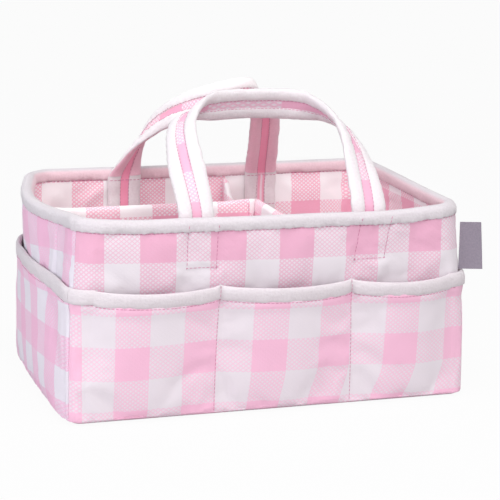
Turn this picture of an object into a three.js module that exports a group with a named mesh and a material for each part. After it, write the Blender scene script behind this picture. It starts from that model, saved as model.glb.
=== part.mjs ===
// Fabric storage caddy: an open box of padded, checked cotton walls with a bound rim,
// outside pockets on all four sides, a lift-out divider insert and two strap handles.
// Units are millimetres. X runs along the long side, Y from front (-) to back (+), Z up.
// The origin is the middle of the flat base.

import * as THREE from 'three';

// Overall box
const rimLength = 301.6;
const rimWidth = 205;
const baseLength = 313;
const baseWidth = 208;
const rimHeight = 156;
const rimCornerRadius = 22;
const baseCornerRadius = 9;
const cornerSeamAngle = 62;
const baseEdgeRadius = 4;
const frontBow = 9.5;
const backBow = 6.5;
const sideBow = 0.8;
const bowPower = 1.5;
const frontRimSag = 1.6;
const backRimSag = 1.2;
const sideRimSag = 0.4;
const frontRimDrop = 2.4;
const frontRimDips = [{ place: 90, depth: 2, reach: 40 }, { place: -105, depth: 1, reach: 25 }];

// Layers of a wall, from the outside in
const fabricGap = 0.3;
const panelThickness = 2;
const boardThickness = 3.2;
const liningThickness = 1.6;

// Layers of the base, from the floor up
const basePanelThickness = 2;
const baseBoardThickness = 2.7;
const baseLiningThickness = 1.6;

// Bound rim
const bindingHeight = 10;
const bindingThickness = 1.3;
const bindingCrown = 2;

// Outside pockets
const pocketTop = 101;
const pocketThickness = 1.8;
const pocketTopLean = 1.6;
const pocketBulge = { front: 9, back: 9, left: 7, right: 7 };
const pocketBulgePower = { front: 0.65, back: 0.65, left: 0.1, right: 0.1 };
const pocketMouthDraw = { front: 0, back: 0, left: 0.3, right: 0.3 };
const pocketFlatness = { front: 0.8, back: 0.8, left: 0.4, right: 0.4 };
const pocketMouthFlatness = 0.5;
const pocketMouthSag = { front: 3, back: 3, left: 0, right: 0 };
const pocketSideSag = { front: -1, back: -1, left: -0.4, right: -0.4 };
const pocketBindingHeight = 10.5;
const pocketBindingThickness = 0.9;
const frontPocketSeams = [-45, 58];
const backPocketSeams = [-45, 58];

// Strap handles
const strapWidth = 28;
const strapCoreThickness = 2.2;
const strapBindingWidth = 10.5;
const strapBindingThickness = 1.1;
const strapEndThickness = 4.4;
const strapEndBelowBinding = 31;
const strapEndStepRise = 6;
const hingeClearance = 0.4;
const strapTuck = 1.1;
const straightShare = 0.25;
const frontHandle = {
  name: 'front_handle',
  side: 'front',
  centre: 8,
  halfSpan: 68,
  legControl: { spread: 3, reach: 47, rise: 62 },
  topControl: { spread: 3 },
  topReach: 90,
  topRise: 66,
  topLean: 0,
  twistTop: -60,
  twistStart: 0,
  twistEnd: 0.88,
};
const backHandle = {
  name: 'back_handle',
  side: 'back',
  centre: -8,
  halfSpan: 60,
  legControl: { spread: -9, reach: 40, rise: 40 },
  topControl: { spread: -7 },
  topReach: 82,
  topRise: 67,
  topLean: 6,
  twistTop: -76,
  twistStart: 0,
  twistEnd: 0.95,
};

// Divider insert: a long divider sewn to a cross divider
const dividerBelowRim = 13;
const dividerThickness = 6;
const dividerEdgeRadius = 2.6;
const dividerClearance = 0.9;
const longDividerY = 2;
const crossDividerX = 20;

// Side label: a short folded tape in the front right seam
const labelLength = 19;
const labelTopLength = 16.5;
const labelHeight = 37;
const labelThickness = 1.4;
const labelAbovePocket = -0.8;
const labelTurn = 20;

const wallThickness = panelThickness + boardThickness + liningThickness + 2 * fabricGap;
const boardInset = panelThickness + fabricGap;
const liningInset = boardInset + boardThickness + fabricGap;
const bindingProud = bindingThickness + fabricGap;
const baseTop = basePanelThickness + fabricGap;
const boardBottom = baseTop + baseBoardThickness + fabricGap;
const floorTop = boardBottom + baseLiningThickness;
const dividerHeight = rimHeight - dividerBelowRim;
const labelBottom = pocketTop + labelAbovePocket;

const group = new THREE.Group();

const pinkCheck = { color: 0xf6b9d0, roughness: 0.9, metalness: 0 };
const whitePlush = { color: 0xf4f2f3, roughness: 0.95, metalness: 0 };
const greyFelt = { color: 0xb9b4b0, roughness: 1, metalness: 0 };
const greyTape = { color: 0x8e8a95, roughness: 0.8, metalness: 0 };

function addPiece(name, geometry, look) {
  geometry.computeVertexNormals();
  const piece = new THREE.Mesh(geometry, new THREE.MeshStandardMaterial(look));
  piece.name = name;
  group.add(piece);
  return piece;
}

// Plan of the box at a height. The walls flare from the base to the rim, their corners
// open out towards the rim, and the long walls bow outwards more the higher they are.
function mix(low, high, t) {
  return low + (high - low) * t;
}

function smooth(t) {
  const clamped = Math.min(1, Math.max(0, t));
  return clamped * clamped * (3 - 2 * clamped);
}

function planAt(z) {
  const t = Math.max(0, z) / rimHeight;
  const flare = t * t;
  return {
    halfX: mix(baseLength, rimLength, flare) / 2,
    halfY: mix(baseWidth, rimWidth, flare) / 2,
    radius: mix(baseCornerRadius, rimCornerRadius, flare),
    bow: Math.pow(t, bowPower),
  };
}

// How far the outer skin draws in where it turns under the box
function baseRound(z) {
  if (z >= baseEdgeRadius) {
    return 0;
  }
  const drop = baseEdgeRadius - Math.max(0, z);
  return baseEdgeRadius - Math.sqrt(baseEdgeRadius * baseEdgeRadius - drop * drop);
}

function sideSizes(side, plan) {
  const long = side === 'front' || side === 'back';
  return {
    half: long ? plan.halfX : plan.halfY,
    depth: long ? plan.halfY : plan.halfX,
  };
}

// Length of the straight part of a side, from its middle to where the corner starts
function straightHalf(side, z) {
  const plan = planAt(z);
  return sideSizes(side, plan).half - plan.radius;
}

// Point on a wall. q runs from -1 to 1 along the straight part, and 2 more units would take
// it right round a corner. inset is the depth below the outer skin. shift moves the point
// along the side, which leaves the seam between two walls open by a hair.
function wallPoint(side, q, inset, z, shift = 0) {
  const plan = planAt(z);
  const { half, depth } = sideSizes(side, plan);
  const radius = plan.radius;
  const sunk = inset + baseRound(z);
  let along = q * (half - radius);
  let out = depth - sunk;
  if (Math.abs(q) > 1) {
    const angle = (Math.abs(q) - 1) * Math.PI / 4;
    along = Math.sign(q) * (half - radius + (radius - sunk) * Math.sin(angle));
    out = depth - radius + (radius - sunk) * Math.cos(angle);
  }
  along += shift;
  const spots = {
    front: [along, -out],
    right: [out, along],
    back: [-along, out],
    left: [-out, -along],
  };
  const [x, y] = spots[side];
  const bowY = (y < 0 ? frontBow : backBow) * plan.bow;
  const bowX = sideBow * plan.bow;
  const nearMiddleX = 1 - Math.min(1, (x / plan.halfX) ** 2);
  const nearMiddleY = 1 - Math.min(1, (y / plan.halfY) ** 2);
  return new THREE.Vector3(
    x * (1 + bowX / plan.halfX * nearMiddleY),
    y * (1 + bowY / plan.halfY * nearMiddleX),
    z,
  );
}

// Height of the rim. It sags between the corners, is lower in front, and dips at two places
function rimTop(side, q) {
  const sags = { front: frontRimSag, back: backRimSag, left: sideRimSag, right: sideRimSag };
  const middle = 1 - Math.min(1, Math.abs(q)) ** 2;
  const spot = wallPoint(side, q, 0, rimHeight);
  const nearFront = smooth(0.5 - spot.y / 150);
  const drops = frontRimDips.map(({ place, depth, reach }) => (
    depth * Math.exp(-(((spot.x - place) / reach) ** 2))
  ));
  const drop = drops.reduce((total, dip) => total + dip, frontRimDrop);
  return rimHeight - sags[side] * middle - nearFront * drop;
}

// A closed body between two matching grids of points, front[row][column] facing out
function slab(front, back) {
  const rows = front.length;
  const columns = front[0].length;
  const points = [...front.flat(), ...back.flat()];
  const faces = [];
  const at = (layer, row, column) => layer * rows * columns + row * columns + column;
  const quad = (a, b, c, d) => faces.push(a, b, c, a, c, d);
  for (let row = 0; row < rows - 1; row += 1) {
    for (let column = 0; column < columns - 1; column += 1) {
      quad(at(0, row, column), at(0, row, column + 1), at(0, row + 1, column + 1), at(0, row + 1, column));
      quad(at(1, row, column), at(1, row + 1, column), at(1, row + 1, column + 1), at(1, row, column + 1));
    }
  }
  const last = columns - 1;
  const topRow = rows - 1;
  for (let column = 0; column < last; column += 1) {
    quad(at(0, 0, column + 1), at(0, 0, column), at(1, 0, column), at(1, 0, column + 1));
    quad(at(0, topRow, column), at(0, topRow, column + 1), at(1, topRow, column + 1), at(1, topRow, column));
  }
  for (let row = 0; row < topRow; row += 1) {
    quad(at(0, row, 0), at(0, row + 1, 0), at(1, row + 1, 0), at(1, row, 0));
    quad(at(0, row + 1, last), at(0, row, last), at(1, row, last), at(1, row + 1, last));
  }
  return meshFrom(points, faces);
}

// Six times the volume inside a closed set of faces, negative when they face inwards
function signedVolume(points, faces) {
  let total = 0;
  for (let i = 0; i < faces.length; i += 3) {
    const [a, b, c] = faces.slice(i, i + 3).map((index) => points[index]);
    total += a.dot(b.clone().cross(c));
  }
  return total;
}

function meshFrom(points, faces) {
  if (signedVolume(points, faces) < 0) {
    faces.reverse();
  }
  const geometry = new THREE.BufferGeometry();
  const numbers = points.flatMap((point) => point.toArray());
  geometry.setAttribute('position', new THREE.Float32BufferAttribute(numbers, 3));
  geometry.setIndex(faces);
  return geometry;
}

// A closed body from rings of points, each ring the same closed section. The rings either
// join up in a loop or end in flat caps. Each four-sided face is split from the low to the
// high side of the section, so faces that lie close together on a twist fold alike.
function sweepFaces(rings, section, looped) {
  const size = section.length;
  const faces = [];
  const spans = looped ? rings.length : rings.length - 1;
  const rises = section.map((spot, index) => {
    const beside = section[(index + 1) % size];
    return beside.x === spot.x ? beside.y > spot.y : beside.x > spot.x;
  });
  for (let ring = 0; ring < spans; ring += 1) {
    const next = (ring + 1) % rings.length;
    for (let spot = 0; spot < size; spot += 1) {
      const beside = (spot + 1) % size;
      const a = ring * size + spot;
      const b = ring * size + beside;
      const c = next * size + beside;
      const d = next * size + spot;
      if (rises[spot]) {
        faces.push(a, b, c, a, c, d);
      } else {
        faces.push(a, b, d, b, c, d);
      }
    }
  }
  return faces;
}

function sweepLoop(rings, section) {
  return meshFrom(rings.flat(), sweepFaces(rings, section, true));
}

function sweepWithCaps(rings, section) {
  const faces = sweepFaces(rings, section, false);
  const size = section.length;
  const turn = THREE.ShapeUtils.area(section);
  const lastRing = (rings.length - 1) * size;
  for (const cap of THREE.ShapeUtils.triangulateShape(section, [])) {
    const sameTurn = THREE.ShapeUtils.area(cap.map((index) => section[index])) * turn > 0;
    const [a, b, c] = sameTurn ? cap : cap.slice().reverse();
    faces.push(a, c, b);
    faces.push(lastRing + a, lastRing + b, lastRing + c);
  }
  return meshFrom(rings.flat(), faces);
}

function asShape(section) {
  return section.map(([x, y]) => new THREE.Vector2(x, y));
}

function spread(from, to, steps) {
  return Array.from({ length: steps + 1 }, (_, step) => mix(from, to, step / steps));
}

// The long walls wrap round most of each corner, to a seam where the short walls start
const cornerShare = cornerSeamAngle / 90;
const seamAt = {
  front: 1 + 2 * cornerShare,
  right: 3 - 2 * cornerShare,
  back: 1 + 2 * cornerShare,
  left: 3 - 2 * cornerShare,
};

// Column places along a side, from seam to seam
function withCorners(side, places) {
  const seam = seamAt[side];
  const turn = (1 + seam) / 2;
  return [-seam, -turn, ...places, turn, seam];
}

function columnsFor(side, steps) {
  return withCorners(side, spread(-1, 1, steps));
}

function seamShift(side, q) {
  return Math.abs(q) === seamAt[side] ? -Math.sign(q) * fabricGap * 0.7 : 0;
}

// One wall layer, standing from its lowest row to just under the crown of the binding.
// The rows above the first few are shares of the height that is left.
function wallLayer(side, inset, thickness, lowRows, columns, shares) {
  const underCrown = bindingCrown + fabricGap;
  const lastLow = lowRows[lowRows.length - 1];
  const rows = [...lowRows.map((z) => () => z), ...shares.map((share) => (
    (q) => mix(lastLow, rimTop(side, q) - underCrown, share)
  ))];
  const grid = (depth) => rows.map((height) => columns.map((q) => (
    wallPoint(side, q, depth, height(q), seamShift(side, q))
  )));
  return slab(grid(inset), grid(inset + thickness));
}

const sides = ['front', 'right', 'back', 'left'];
const sideSteps = { front: 10, right: 6, back: 10, left: 6 };

// Plan outline of the box at a height and a depth below the skin
function outlineAt(inset, z) {
  return sides.flatMap((side) => (
    columnsFor(side, sideSteps[side] / 2).slice(0, -1).map((q) => wallPoint(side, q, inset, z))
  ));
}

function plate(rings) {
  return sweepWithCaps(rings, rings[0].map((p) => new THREE.Vector2(p.x, p.y)));
}

// Base: the outer cloth turns up into the walls, with a stiff board and the lining on it
const boardEdgeInset = panelThickness + 2 * fabricGap;
const floorEdgeInset = wallThickness + 3 * fabricGap;
const clothHeights = [0, basePanelThickness / 4, basePanelThickness];

function flatPlate(inset, bottom, thickness) {
  const low = outlineAt(inset, bottom);
  return plate([low, low.map((p) => p.clone().setZ(bottom + thickness))]);
}

addPiece('base_panel', plate(clothHeights.map((z) => outlineAt(0, z))), pinkCheck);
addPiece('base_board', flatPlate(boardEdgeInset, baseTop, baseBoardThickness), greyFelt);
addPiece('base_lining', flatPlate(floorEdgeInset, boardBottom, baseLiningThickness), pinkCheck);

// Rim binding: a folded tape over the top of all the wall layers, with a full round crown
function rimBindingSection() {
  const outer = -bindingProud;
  const inner = wallThickness + bindingProud;
  const middle = wallThickness / 2;
  const shoulder = 1.7;
  return [
    [-fabricGap, -bindingHeight],
    [-fabricGap, -bindingCrown],
    [wallThickness + fabricGap, -bindingCrown],
    [wallThickness + fabricGap, -bindingHeight],
    [inner, -bindingHeight],
    [inner + fabricGap, -bindingHeight / 2],
    [inner - shoulder / 2, -shoulder],
    [inner - 2 * shoulder, -fabricGap],
    [middle, 0],
    [outer + 2 * shoulder, -fabricGap],
    [outer + shoulder / 2, -shoulder],
    [outer - fabricGap, -bindingHeight / 2],
    [outer, -bindingHeight],
  ];
}

function rimBinding() {
  const section = rimBindingSection();
  const rings = sides.flatMap((side) => {
    const columns = columnsFor(side, sideSteps[side] - 2).slice(0, -1);
    return columns.map((q) => section.map(([inset, drop]) => (
      wallPoint(side, q, inset, rimTop(side, q) + drop)
    )));
  });
  return sweepLoop(rings, asShape(section));
}

addPiece('rim_binding', rimBinding(), whitePlush);

// Pockets: a second cloth outside each wall, sewn at the base, the corners and the seams
// between pockets, and standing away from the wall in between
function pocketSeams(side) {
  const end = straightHalf(side, pocketTop);
  const between = { front: frontPocketSeams, back: backPocketSeams, left: [], right: [] };
  return [-end, ...between[side], end];
}

// How open a pocket is at a place along its side: 0 at its seams, 1 in its middle
function openness(side, q, flatness) {
  if (Math.abs(q) >= 1) {
    return 0;
  }
  const along = q * straightHalf(side, pocketTop);
  const seams = pocketSeams(side);
  const index = seams.findIndex((seam, i) => along >= seam && along <= seams[i + 1]);
  const share = (along - seams[index]) / (seams[index + 1] - seams[index]);
  return Math.pow(Math.max(0, Math.sin(Math.PI * share)), flatness);
}

const pocketBindingDepth = pocketBindingThickness + fabricGap;

function pocketMouth(side, q) {
  const middle = 1 - Math.min(1, Math.abs(q)) ** 2;
  const lean = pocketTopLean * wallPoint(side, q, 0, pocketTop).x / (rimLength / 2);
  const sag = pocketSideSag[side] * middle + pocketMouthSag[side] * openness(side, q, pocketMouthFlatness);
  return pocketTop - pocketBindingDepth - lean - sag;
}

// Distance from the wall's skin to the inside of the pocket cloth. Near the mouth the cloth
// stands off a little more, so the inner leg of its binding has room.
const mouthRoomHeight = 9;

function pocketGap(side, q, z) {
  const mouth = pocketMouth(side, q);
  const height = Math.min(1, Math.max(0, (z - baseTop) / (mouth - baseTop)));
  const roomStart = mouth - pocketBindingHeight - mouthRoomHeight;
  const mouthRoom = (pocketBindingDepth + fabricGap) * smooth((z - roomStart) / mouthRoomHeight);
  const full = openness(side, q, pocketFlatness[side]) * Math.pow(height, pocketBulgePower[side]);
  const drawn = 1 - pocketMouthDraw[side] * height;
  return fabricGap + mouthRoom + pocketBulge[side] * full * drawn;
}

function pocketColumns(side) {
  const end = straightHalf(side, pocketTop);
  const seams = pocketSeams(side);
  const steps = side === 'front' || side === 'back' ? 6 : 8;
  const places = seams.slice(0, -1).flatMap((seam, i) => spread(seam, seams[i + 1], steps).slice(0, -1));
  return withCorners(side, [...places.map((place) => place / end), 1]);
}

// The outer skins of the walls and the pockets share these rows where the box turns under
const turnRows = [baseTop, baseEdgeRadius];

function pocketPanel(side) {
  const columns = pocketColumns(side);
  const shares = [0.3, 0.6, 0.8, 0.9, 1];
  const rows = [...turnRows.map((z) => () => z), ...shares.map((share) => (
    (q) => mix(baseEdgeRadius, pocketMouth(side, q), share)
  ))];
  const grid = (depth) => rows.map((height) => columns.map((q) => {
    const z = height(q);
    return wallPoint(side, q, -pocketGap(side, q, z) - depth, z, seamShift(side, q));
  }));
  return slab(grid(pocketThickness), grid(0));
}

// Section of the pocket binding: distance out from the pocket cloth's inside, and drop
function pocketBindingSection() {
  const low = pocketBindingDepth - pocketBindingHeight;
  const outside = pocketThickness + fabricGap;
  return [
    [-fabricGap, low],
    [-pocketBindingDepth, low],
    [-pocketBindingDepth, 0],
    [pocketThickness / 2, pocketBindingDepth],
    [pocketThickness + pocketBindingDepth, 0],
    [pocketThickness + pocketBindingDepth, low],
    [outside, low],
    [outside, fabricGap],
    [-fabricGap, fabricGap],
  ];
}

function pocketBinding(side) {
  const section = pocketBindingSection();
  const rings = pocketColumns(side).map((q) => section.map(([out, drop]) => {
    const z = pocketMouth(side, q) + drop;
    const gap = pocketGap(side, q, Math.min(z, pocketMouth(side, q)));
    return wallPoint(side, q, -gap - out, z, seamShift(side, q));
  }));
  return sweepWithCaps(rings, asShape(section));
}

// Walls: each is an outer panel, a stiff board and a lining panel, sewn at the corners
const panelShares = [0.18, 0.36, 0.5, 0.62, 0.8, 1];
const innerShares = [0.25, 0.5, 0.75, 1];
for (const side of sides) {
  const outerColumns = pocketColumns(side);
  const columns = columnsFor(side, sideSteps[side]);
  const panel = wallLayer(side, 0, panelThickness, turnRows, outerColumns, panelShares);
  addPiece(`${side}_panel`, panel, pinkCheck);
  const board = wallLayer(side, boardInset, boardThickness, [boardBottom], columns, innerShares);
  addPiece(`${side}_board`, board, greyFelt);
  const lining = wallLayer(side, liningInset, liningThickness, [boardBottom], columns, innerShares);
  addPiece(`${side}_lining`, lining, pinkCheck);
}

for (const side of sides) {
  addPiece(`${side}_pocket`, pocketPanel(side), pinkCheck);
  addPiece(`${side}_pocket_binding`, pocketBinding(side), whitePlush);
}

// Handles: a flat strap with both edges bound. Each end is sewn flat to the lining under
// the rim. Above the rim the strap leans in over the box and turns over its own length,
// so its outer face at the legs becomes the far face at the top.
const strapThickness = strapCoreThickness + 2 * (fabricGap + strapBindingThickness);

function handleHinge(handle) {
  const facing = handle.side === 'front' ? -1 : 1;
  const legs = [-1, 1].map((end) => handle.centre + end * handle.halfSpan);
  const places = legs.map((x) => {
    const along = facing < 0 ? x : -x;
    const q = along / straightHalf(handle.side, rimHeight);
    const top = rimTop(handle.side, q);
    const inset = wallThickness + bindingProud + 2 * fabricGap + strapThickness / 2;
    return { x, q, top, y: wallPoint(handle.side, q, inset, top).y };
  });
  const y = facing * Math.min(...places.map((place) => Math.abs(place.y)));
  const z = Math.max(...places.map((place) => place.top)) + strapThickness / 2 + hingeClearance;
  return { facing, places, y, z };
}

// Stations along the strap: the centre line, and the directions across it and off its face.
// It starts square to the hinge, a little behind it, and takes up its own slant further on.
function strapPath(handle, steps) {
  const { facing, y, z } = handleHinge(handle);
  const { legControl, topControl, halfSpan } = handle;
  const topY = y - facing * handle.topReach;
  const topZ = z + handle.topRise;
  const half = new THREE.CubicBezierCurve3(
    new THREE.Vector3(-halfSpan, y, z),
    new THREE.Vector3(-halfSpan - legControl.spread, y - facing * legControl.reach, z + legControl.rise),
    new THREE.Vector3(-halfSpan - topControl.spread, topY, topZ),
    new THREE.Vector3(0, topY, topZ),
  );
  const front = new THREE.Vector3(0, facing, 0);
  const stations = spread(0, 1, steps).map((t) => {
    const point = half.getPoint(t);
    const tangent = half.getTangent(t);
    tangent.x *= smooth(t / straightShare);
    tangent.normalize();
    const turn = THREE.MathUtils.degToRad(
      mix(90, handle.twistTop, smooth((t - handle.twistStart) / (handle.twistEnd - handle.twistStart))),
    );
    const face = front.clone().addScaledVector(tangent, -tangent.dot(front)).normalize();
    const radial = face.clone().cross(tangent).multiplyScalar(-facing);
    return {
      point,
      out: radial.clone().multiplyScalar(Math.cos(turn)).addScaledVector(face, Math.sin(turn)),
      across: radial.clone().multiplyScalar(Math.sin(turn)).addScaledVector(face, -Math.cos(turn)),
    };
  });
  const first = stations[0];
  const back = new THREE.Vector3(0, facing * legControl.reach, -legControl.rise).setLength(strapTuck);
  stations.unshift({ ...first, point: first.point.clone().add(back) });
  const mirror = (v) => new THREE.Vector3(-v.x, v.y, v.z);
  const other = stations.slice(0, -1).reverse().map((station) => ({
    point: mirror(station.point),
    out: mirror(station.out),
    across: mirror(station.across),
  }));
  return [...stations, ...other].map((station) => {
    const { point } = station;
    point.x += handle.centre + handle.topLean * smooth((point.z - z) / handle.topRise);
    return station;
  });
}

function strapSolid(path, section) {
  const rings = path.map(({ point, out, across }) => section.map(([a, b]) => (
    point.clone().addScaledVector(across, a).addScaledVector(out, b)
  )));
  return sweepWithCaps(rings, asShape(section));
}

function strapSections() {
  const edge = strapWidth / 2;
  const coreEdge = edge - strapBindingThickness - fabricGap;
  const coreFace = strapCoreThickness / 2;
  const inFace = coreFace + fabricGap;
  const outFace = inFace + strapBindingThickness;
  const leg = edge - strapBindingWidth;
  const wall = edge - strapBindingThickness;
  const core = [
    [-coreEdge, -coreFace],
    [-leg, -coreFace],
    [leg, -coreFace],
    [coreEdge, -coreFace],
    [coreEdge, coreFace],
    [leg, coreFace],
    [-leg, coreFace],
    [-coreEdge, coreFace],
  ];
  const binding = [
    [leg, -outFace],
    [wall, -outFace],
    [edge, -inFace],
    [edge, inFace],
    [wall, outFace],
    [leg, outFace],
    [leg, inFace],
    [wall, inFace],
    [wall, -inFace],
    [leg, -inFace],
  ];
  const mirrored = binding.map(([a, b]) => [-a, b]).reverse();
  return { core, outerBinding: binding, innerBinding: mirrored };
}

// The sewn end lies on the lining, then steps over the inner leg of the rim binding
function strapEnd(handle, place, hinge) {
  const half = straightHalf(handle.side, rimHeight);
  const top = hinge.z - strapThickness / 2 - fabricGap;
  const bottom = place.top - bindingHeight - strapEndBelowBinding;
  const stepBottom = place.top - bindingHeight - strapEndStepRise;
  const heights = [0, 0.3, 0.6, 0.7, 0.82, 1];
  const width = strapWidth / 2 / half;
  const columns = spread(place.q - width, place.q + width, 4);
  const grid = (depth) => heights.map((height) => {
    const z = mix(bottom, top, height);
    const step = (bindingProud + fabricGap) * smooth((z - stepBottom) / 5);
    return columns.map((q) => {
      const atHeight = q * half / straightHalf(handle.side, z);
      return wallPoint(handle.side, atHeight, wallThickness + fabricGap + step + depth, z);
    });
  });
  return slab(grid(0), grid(strapEndThickness));
}

for (const handle of [frontHandle, backHandle]) {
  const hinge = handleHinge(handle);
  const path = strapPath(handle, 15);
  const { core, outerBinding, innerBinding } = strapSections();
  addPiece(`${handle.name}_strap`, strapSolid(path, core), pinkCheck);
  addPiece(`${handle.name}_outer_binding`, strapSolid(path, outerBinding), whitePlush);
  addPiece(`${handle.name}_inner_binding`, strapSolid(path, innerBinding), whitePlush);
  for (const place of hinge.places) {
    const end = place.x < handle.centre ? 'left' : 'right';
    addPiece(`${handle.name}_${end}_end`, strapEnd(handle, place, hinge), whitePlush);
  }
}

// Divider insert: padded panels with rounded edges. The long one reaches the left wall and
// the cross one both long walls; both clear the rim binding as the insert is lifted out.
function dividerSection() {
  const half = dividerThickness / 2;
  const soft = dividerEdgeRadius;
  const bottom = floorTop + fabricGap;
  const crown = [0, 30, 60, 90].map((degrees) => {
    const angle = THREE.MathUtils.degToRad(degrees);
    return [half - soft + soft * Math.cos(angle), dividerHeight - soft + soft * Math.sin(angle)];
  });
  const far = crown.map(([x, z]) => [-x, z]).reverse();
  return [[-half, bottom], [half, bottom], ...crown, ...far];
}

function clearHalf(side, along, z) {
  const rimInset = wallThickness + bindingProud + fabricGap + dividerClearance;
  const liningDepth = wallThickness + dividerClearance;
  const q = along / straightHalf(side, z);
  const axis = side === 'front' || side === 'back' ? 'y' : 'x';
  const atWall = Math.abs(wallPoint(side, q, liningDepth, z)[axis]);
  const atRim = Math.abs(wallPoint(side, q, rimInset, rimTop(side, q) - bindingHeight / 2)[axis]);
  return Math.min(atWall, atRim);
}

function crossDivider() {
  const section = dividerSection();
  const reach = (side, z) => clearHalf(side, side === 'front' ? crossDividerX : -crossDividerX, z);
  const rings = spread(0, 1, 6).map((t) => section.map(([x, z]) => (
    new THREE.Vector3(crossDividerX + x, mix(reach('back', z), -reach('front', z), t), z)
  )));
  return sweepWithCaps(rings, asShape(section));
}

function longDivider() {
  const section = dividerSection();
  const rightEnd = crossDividerX - dividerThickness / 2 - fabricGap;
  const rings = spread(0, 1, 4).map((t) => section.map(([y, z]) => (
    new THREE.Vector3(mix(-clearHalf('left', -longDividerY, z), rightEnd, t), longDividerY + y, z)
  )));
  return sweepWithCaps(rings, asShape(section));
}

addPiece('cross_divider', crossDivider(), pinkCheck);
addPiece('long_divider', longDivider(), pinkCheck);

// Side label: a tape folded double, its cut ends held in the corner seam
function sideLabel() {
  const half = labelThickness / 2;
  const fold = [-60, -30, 0, 30, 60].map((degrees) => {
    const angle = THREE.MathUtils.degToRad(degrees);
    return new THREE.Vector2(labelLength - half + half * Math.cos(angle), half * Math.sin(angle));
  });
  const outline = new THREE.Shape([
    new THREE.Vector2(0, -half),
    new THREE.Vector2(labelLength - half, -half),
    ...fold,
    new THREE.Vector2(labelLength - half, half),
    new THREE.Vector2(0, half),
  ]);
  const tape = new THREE.ExtrudeGeometry(outline, { depth: labelHeight, bevelEnabled: false });
  const spots = tape.getAttribute('position');
  for (let i = 0; i < spots.count; i += 1) {
    const share = mix(1, labelTopLength / labelLength, spots.getZ(i) / labelHeight);
    spots.setX(i, spots.getX(i) * share);
  }
  return tape;
}

const label = addPiece('side_label', sideLabel(), greyTape);
const labelRoot = wallPoint('front', seamAt.front, -fabricGap, labelBottom);
label.position.set(labelRoot.x, labelRoot.y, labelBottom);
label.rotation.z = -THREE.MathUtils.degToRad(labelTurn);

export default group;
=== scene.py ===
import math

import bmesh
import bpy
import numpy as np
from mathutils import Matrix, Vector
from mathutils.bvhtree import BVHTree


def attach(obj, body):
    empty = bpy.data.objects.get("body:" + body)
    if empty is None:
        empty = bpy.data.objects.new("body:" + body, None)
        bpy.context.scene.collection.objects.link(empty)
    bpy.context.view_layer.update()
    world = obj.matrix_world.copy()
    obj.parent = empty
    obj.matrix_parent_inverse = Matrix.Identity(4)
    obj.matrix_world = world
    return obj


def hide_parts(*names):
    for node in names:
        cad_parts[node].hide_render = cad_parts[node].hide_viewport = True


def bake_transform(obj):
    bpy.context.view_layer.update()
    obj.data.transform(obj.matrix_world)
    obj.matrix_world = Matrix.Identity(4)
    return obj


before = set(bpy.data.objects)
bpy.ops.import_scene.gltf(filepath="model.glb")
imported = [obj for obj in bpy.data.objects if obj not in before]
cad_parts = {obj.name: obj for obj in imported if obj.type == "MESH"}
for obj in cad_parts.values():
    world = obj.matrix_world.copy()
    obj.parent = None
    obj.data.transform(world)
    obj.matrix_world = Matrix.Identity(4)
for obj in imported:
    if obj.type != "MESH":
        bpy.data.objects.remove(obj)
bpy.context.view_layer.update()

# Studio
# The caddy stands on a plain pale floor in a white room and is seen from its front left
# corner, a little above the rim. Four soft lamps and the pale room light it.
scene = bpy.context.scene
scene.view_settings.view_transform = "Standard"

turn = math.radians(17.901)
tilt = math.radians(12.393)
roll = math.radians(0.965)
distance = 1.41637
slide_right = 0.0126
slide_up = 0.01186
lens = 126.63
look_at = np.array([0, 0, 0.09])
backwards = np.array([-math.sin(turn) * math.cos(tilt), -math.cos(turn) * math.cos(tilt), math.sin(tilt)])
level = np.array([math.cos(turn), -math.sin(turn), 0])
upright = np.cross(backwards, level)
to_right = level * math.cos(roll) + upright * math.sin(roll)
to_top = -level * math.sin(roll) + upright * math.cos(roll)
eye = look_at + backwards * distance + to_right * slide_right + to_top * slide_up

camera = bpy.data.objects.new("camera", bpy.data.cameras.new("camera"))
scene.collection.objects.link(camera)
camera.data.sensor_width = 36
camera.data.lens = lens
axes = np.eye(4)
axes[:3] = np.stack([to_right, to_top, backwards, eye], axis=1)
camera.matrix_world = Matrix(axes.tolist())
scene.camera = camera


def soft_lamp(name, place, size, power, tint):
    light = bpy.data.lights.new(name, "AREA")
    light.shape = "DISK"
    light.size = size
    light.energy = power
    light.color = tint
    lamp = bpy.data.objects.new(name, light)
    scene.collection.objects.link(lamp)
    lamp.location = place
    lamp.rotation_euler = (Vector((0, 0, 0.1)) - Vector(place)).to_track_quat("-Z", "Y").to_euler()


soft_lamp("front_lamp", (0.1, -1.35, 1.1), size=1.5, power=8, tint=(1, 1, 1))
soft_lamp("low_lamp", (-0.3, -1.5, 0.25), size=0.8, power=4.5, tint=(1, 1, 1))
soft_lamp("top_lamp", (0, -0.35, 0.95), size=0.6, power=4.7, tint=(1, 1, 1))
soft_lamp("left_lamp", (-1.6, -0.3, 0.7), size=1.1, power=12, tint=(0.9, 0.93, 1))


def node(tree, kind, **settings):
    made = tree.nodes.new(kind)
    for key, value in settings.items():
        setattr(made, key, value)
    return made


def sum_of(tree, operation, first, second=None, third=None, clamp=False):
    """A Math node whose inputs are other nodes' outputs or plain numbers."""
    made = node(tree, "ShaderNodeMath", operation=operation, use_clamp=clamp)
    for place, value in enumerate((first, second, third)):
        if value is None:
            continue
        if isinstance(value, (int, float)):
            made.inputs[place].default_value = value
        else:
            tree.links.new(value, made.inputs[place])
    return made.outputs[0]


def show_for(tree, share, lit, seen, surface):
    """Shows one shader to a share of the rays, and lights the object by the other."""
    mixed = node(tree, "ShaderNodeMixShader")
    tree.links.new(share, mixed.inputs["Fac"])
    tree.links.new(lit.outputs[0], mixed.inputs[1])
    tree.links.new(seen.outputs[0], mixed.inputs[2])
    tree.links.new(mixed.outputs["Shader"], surface)


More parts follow.
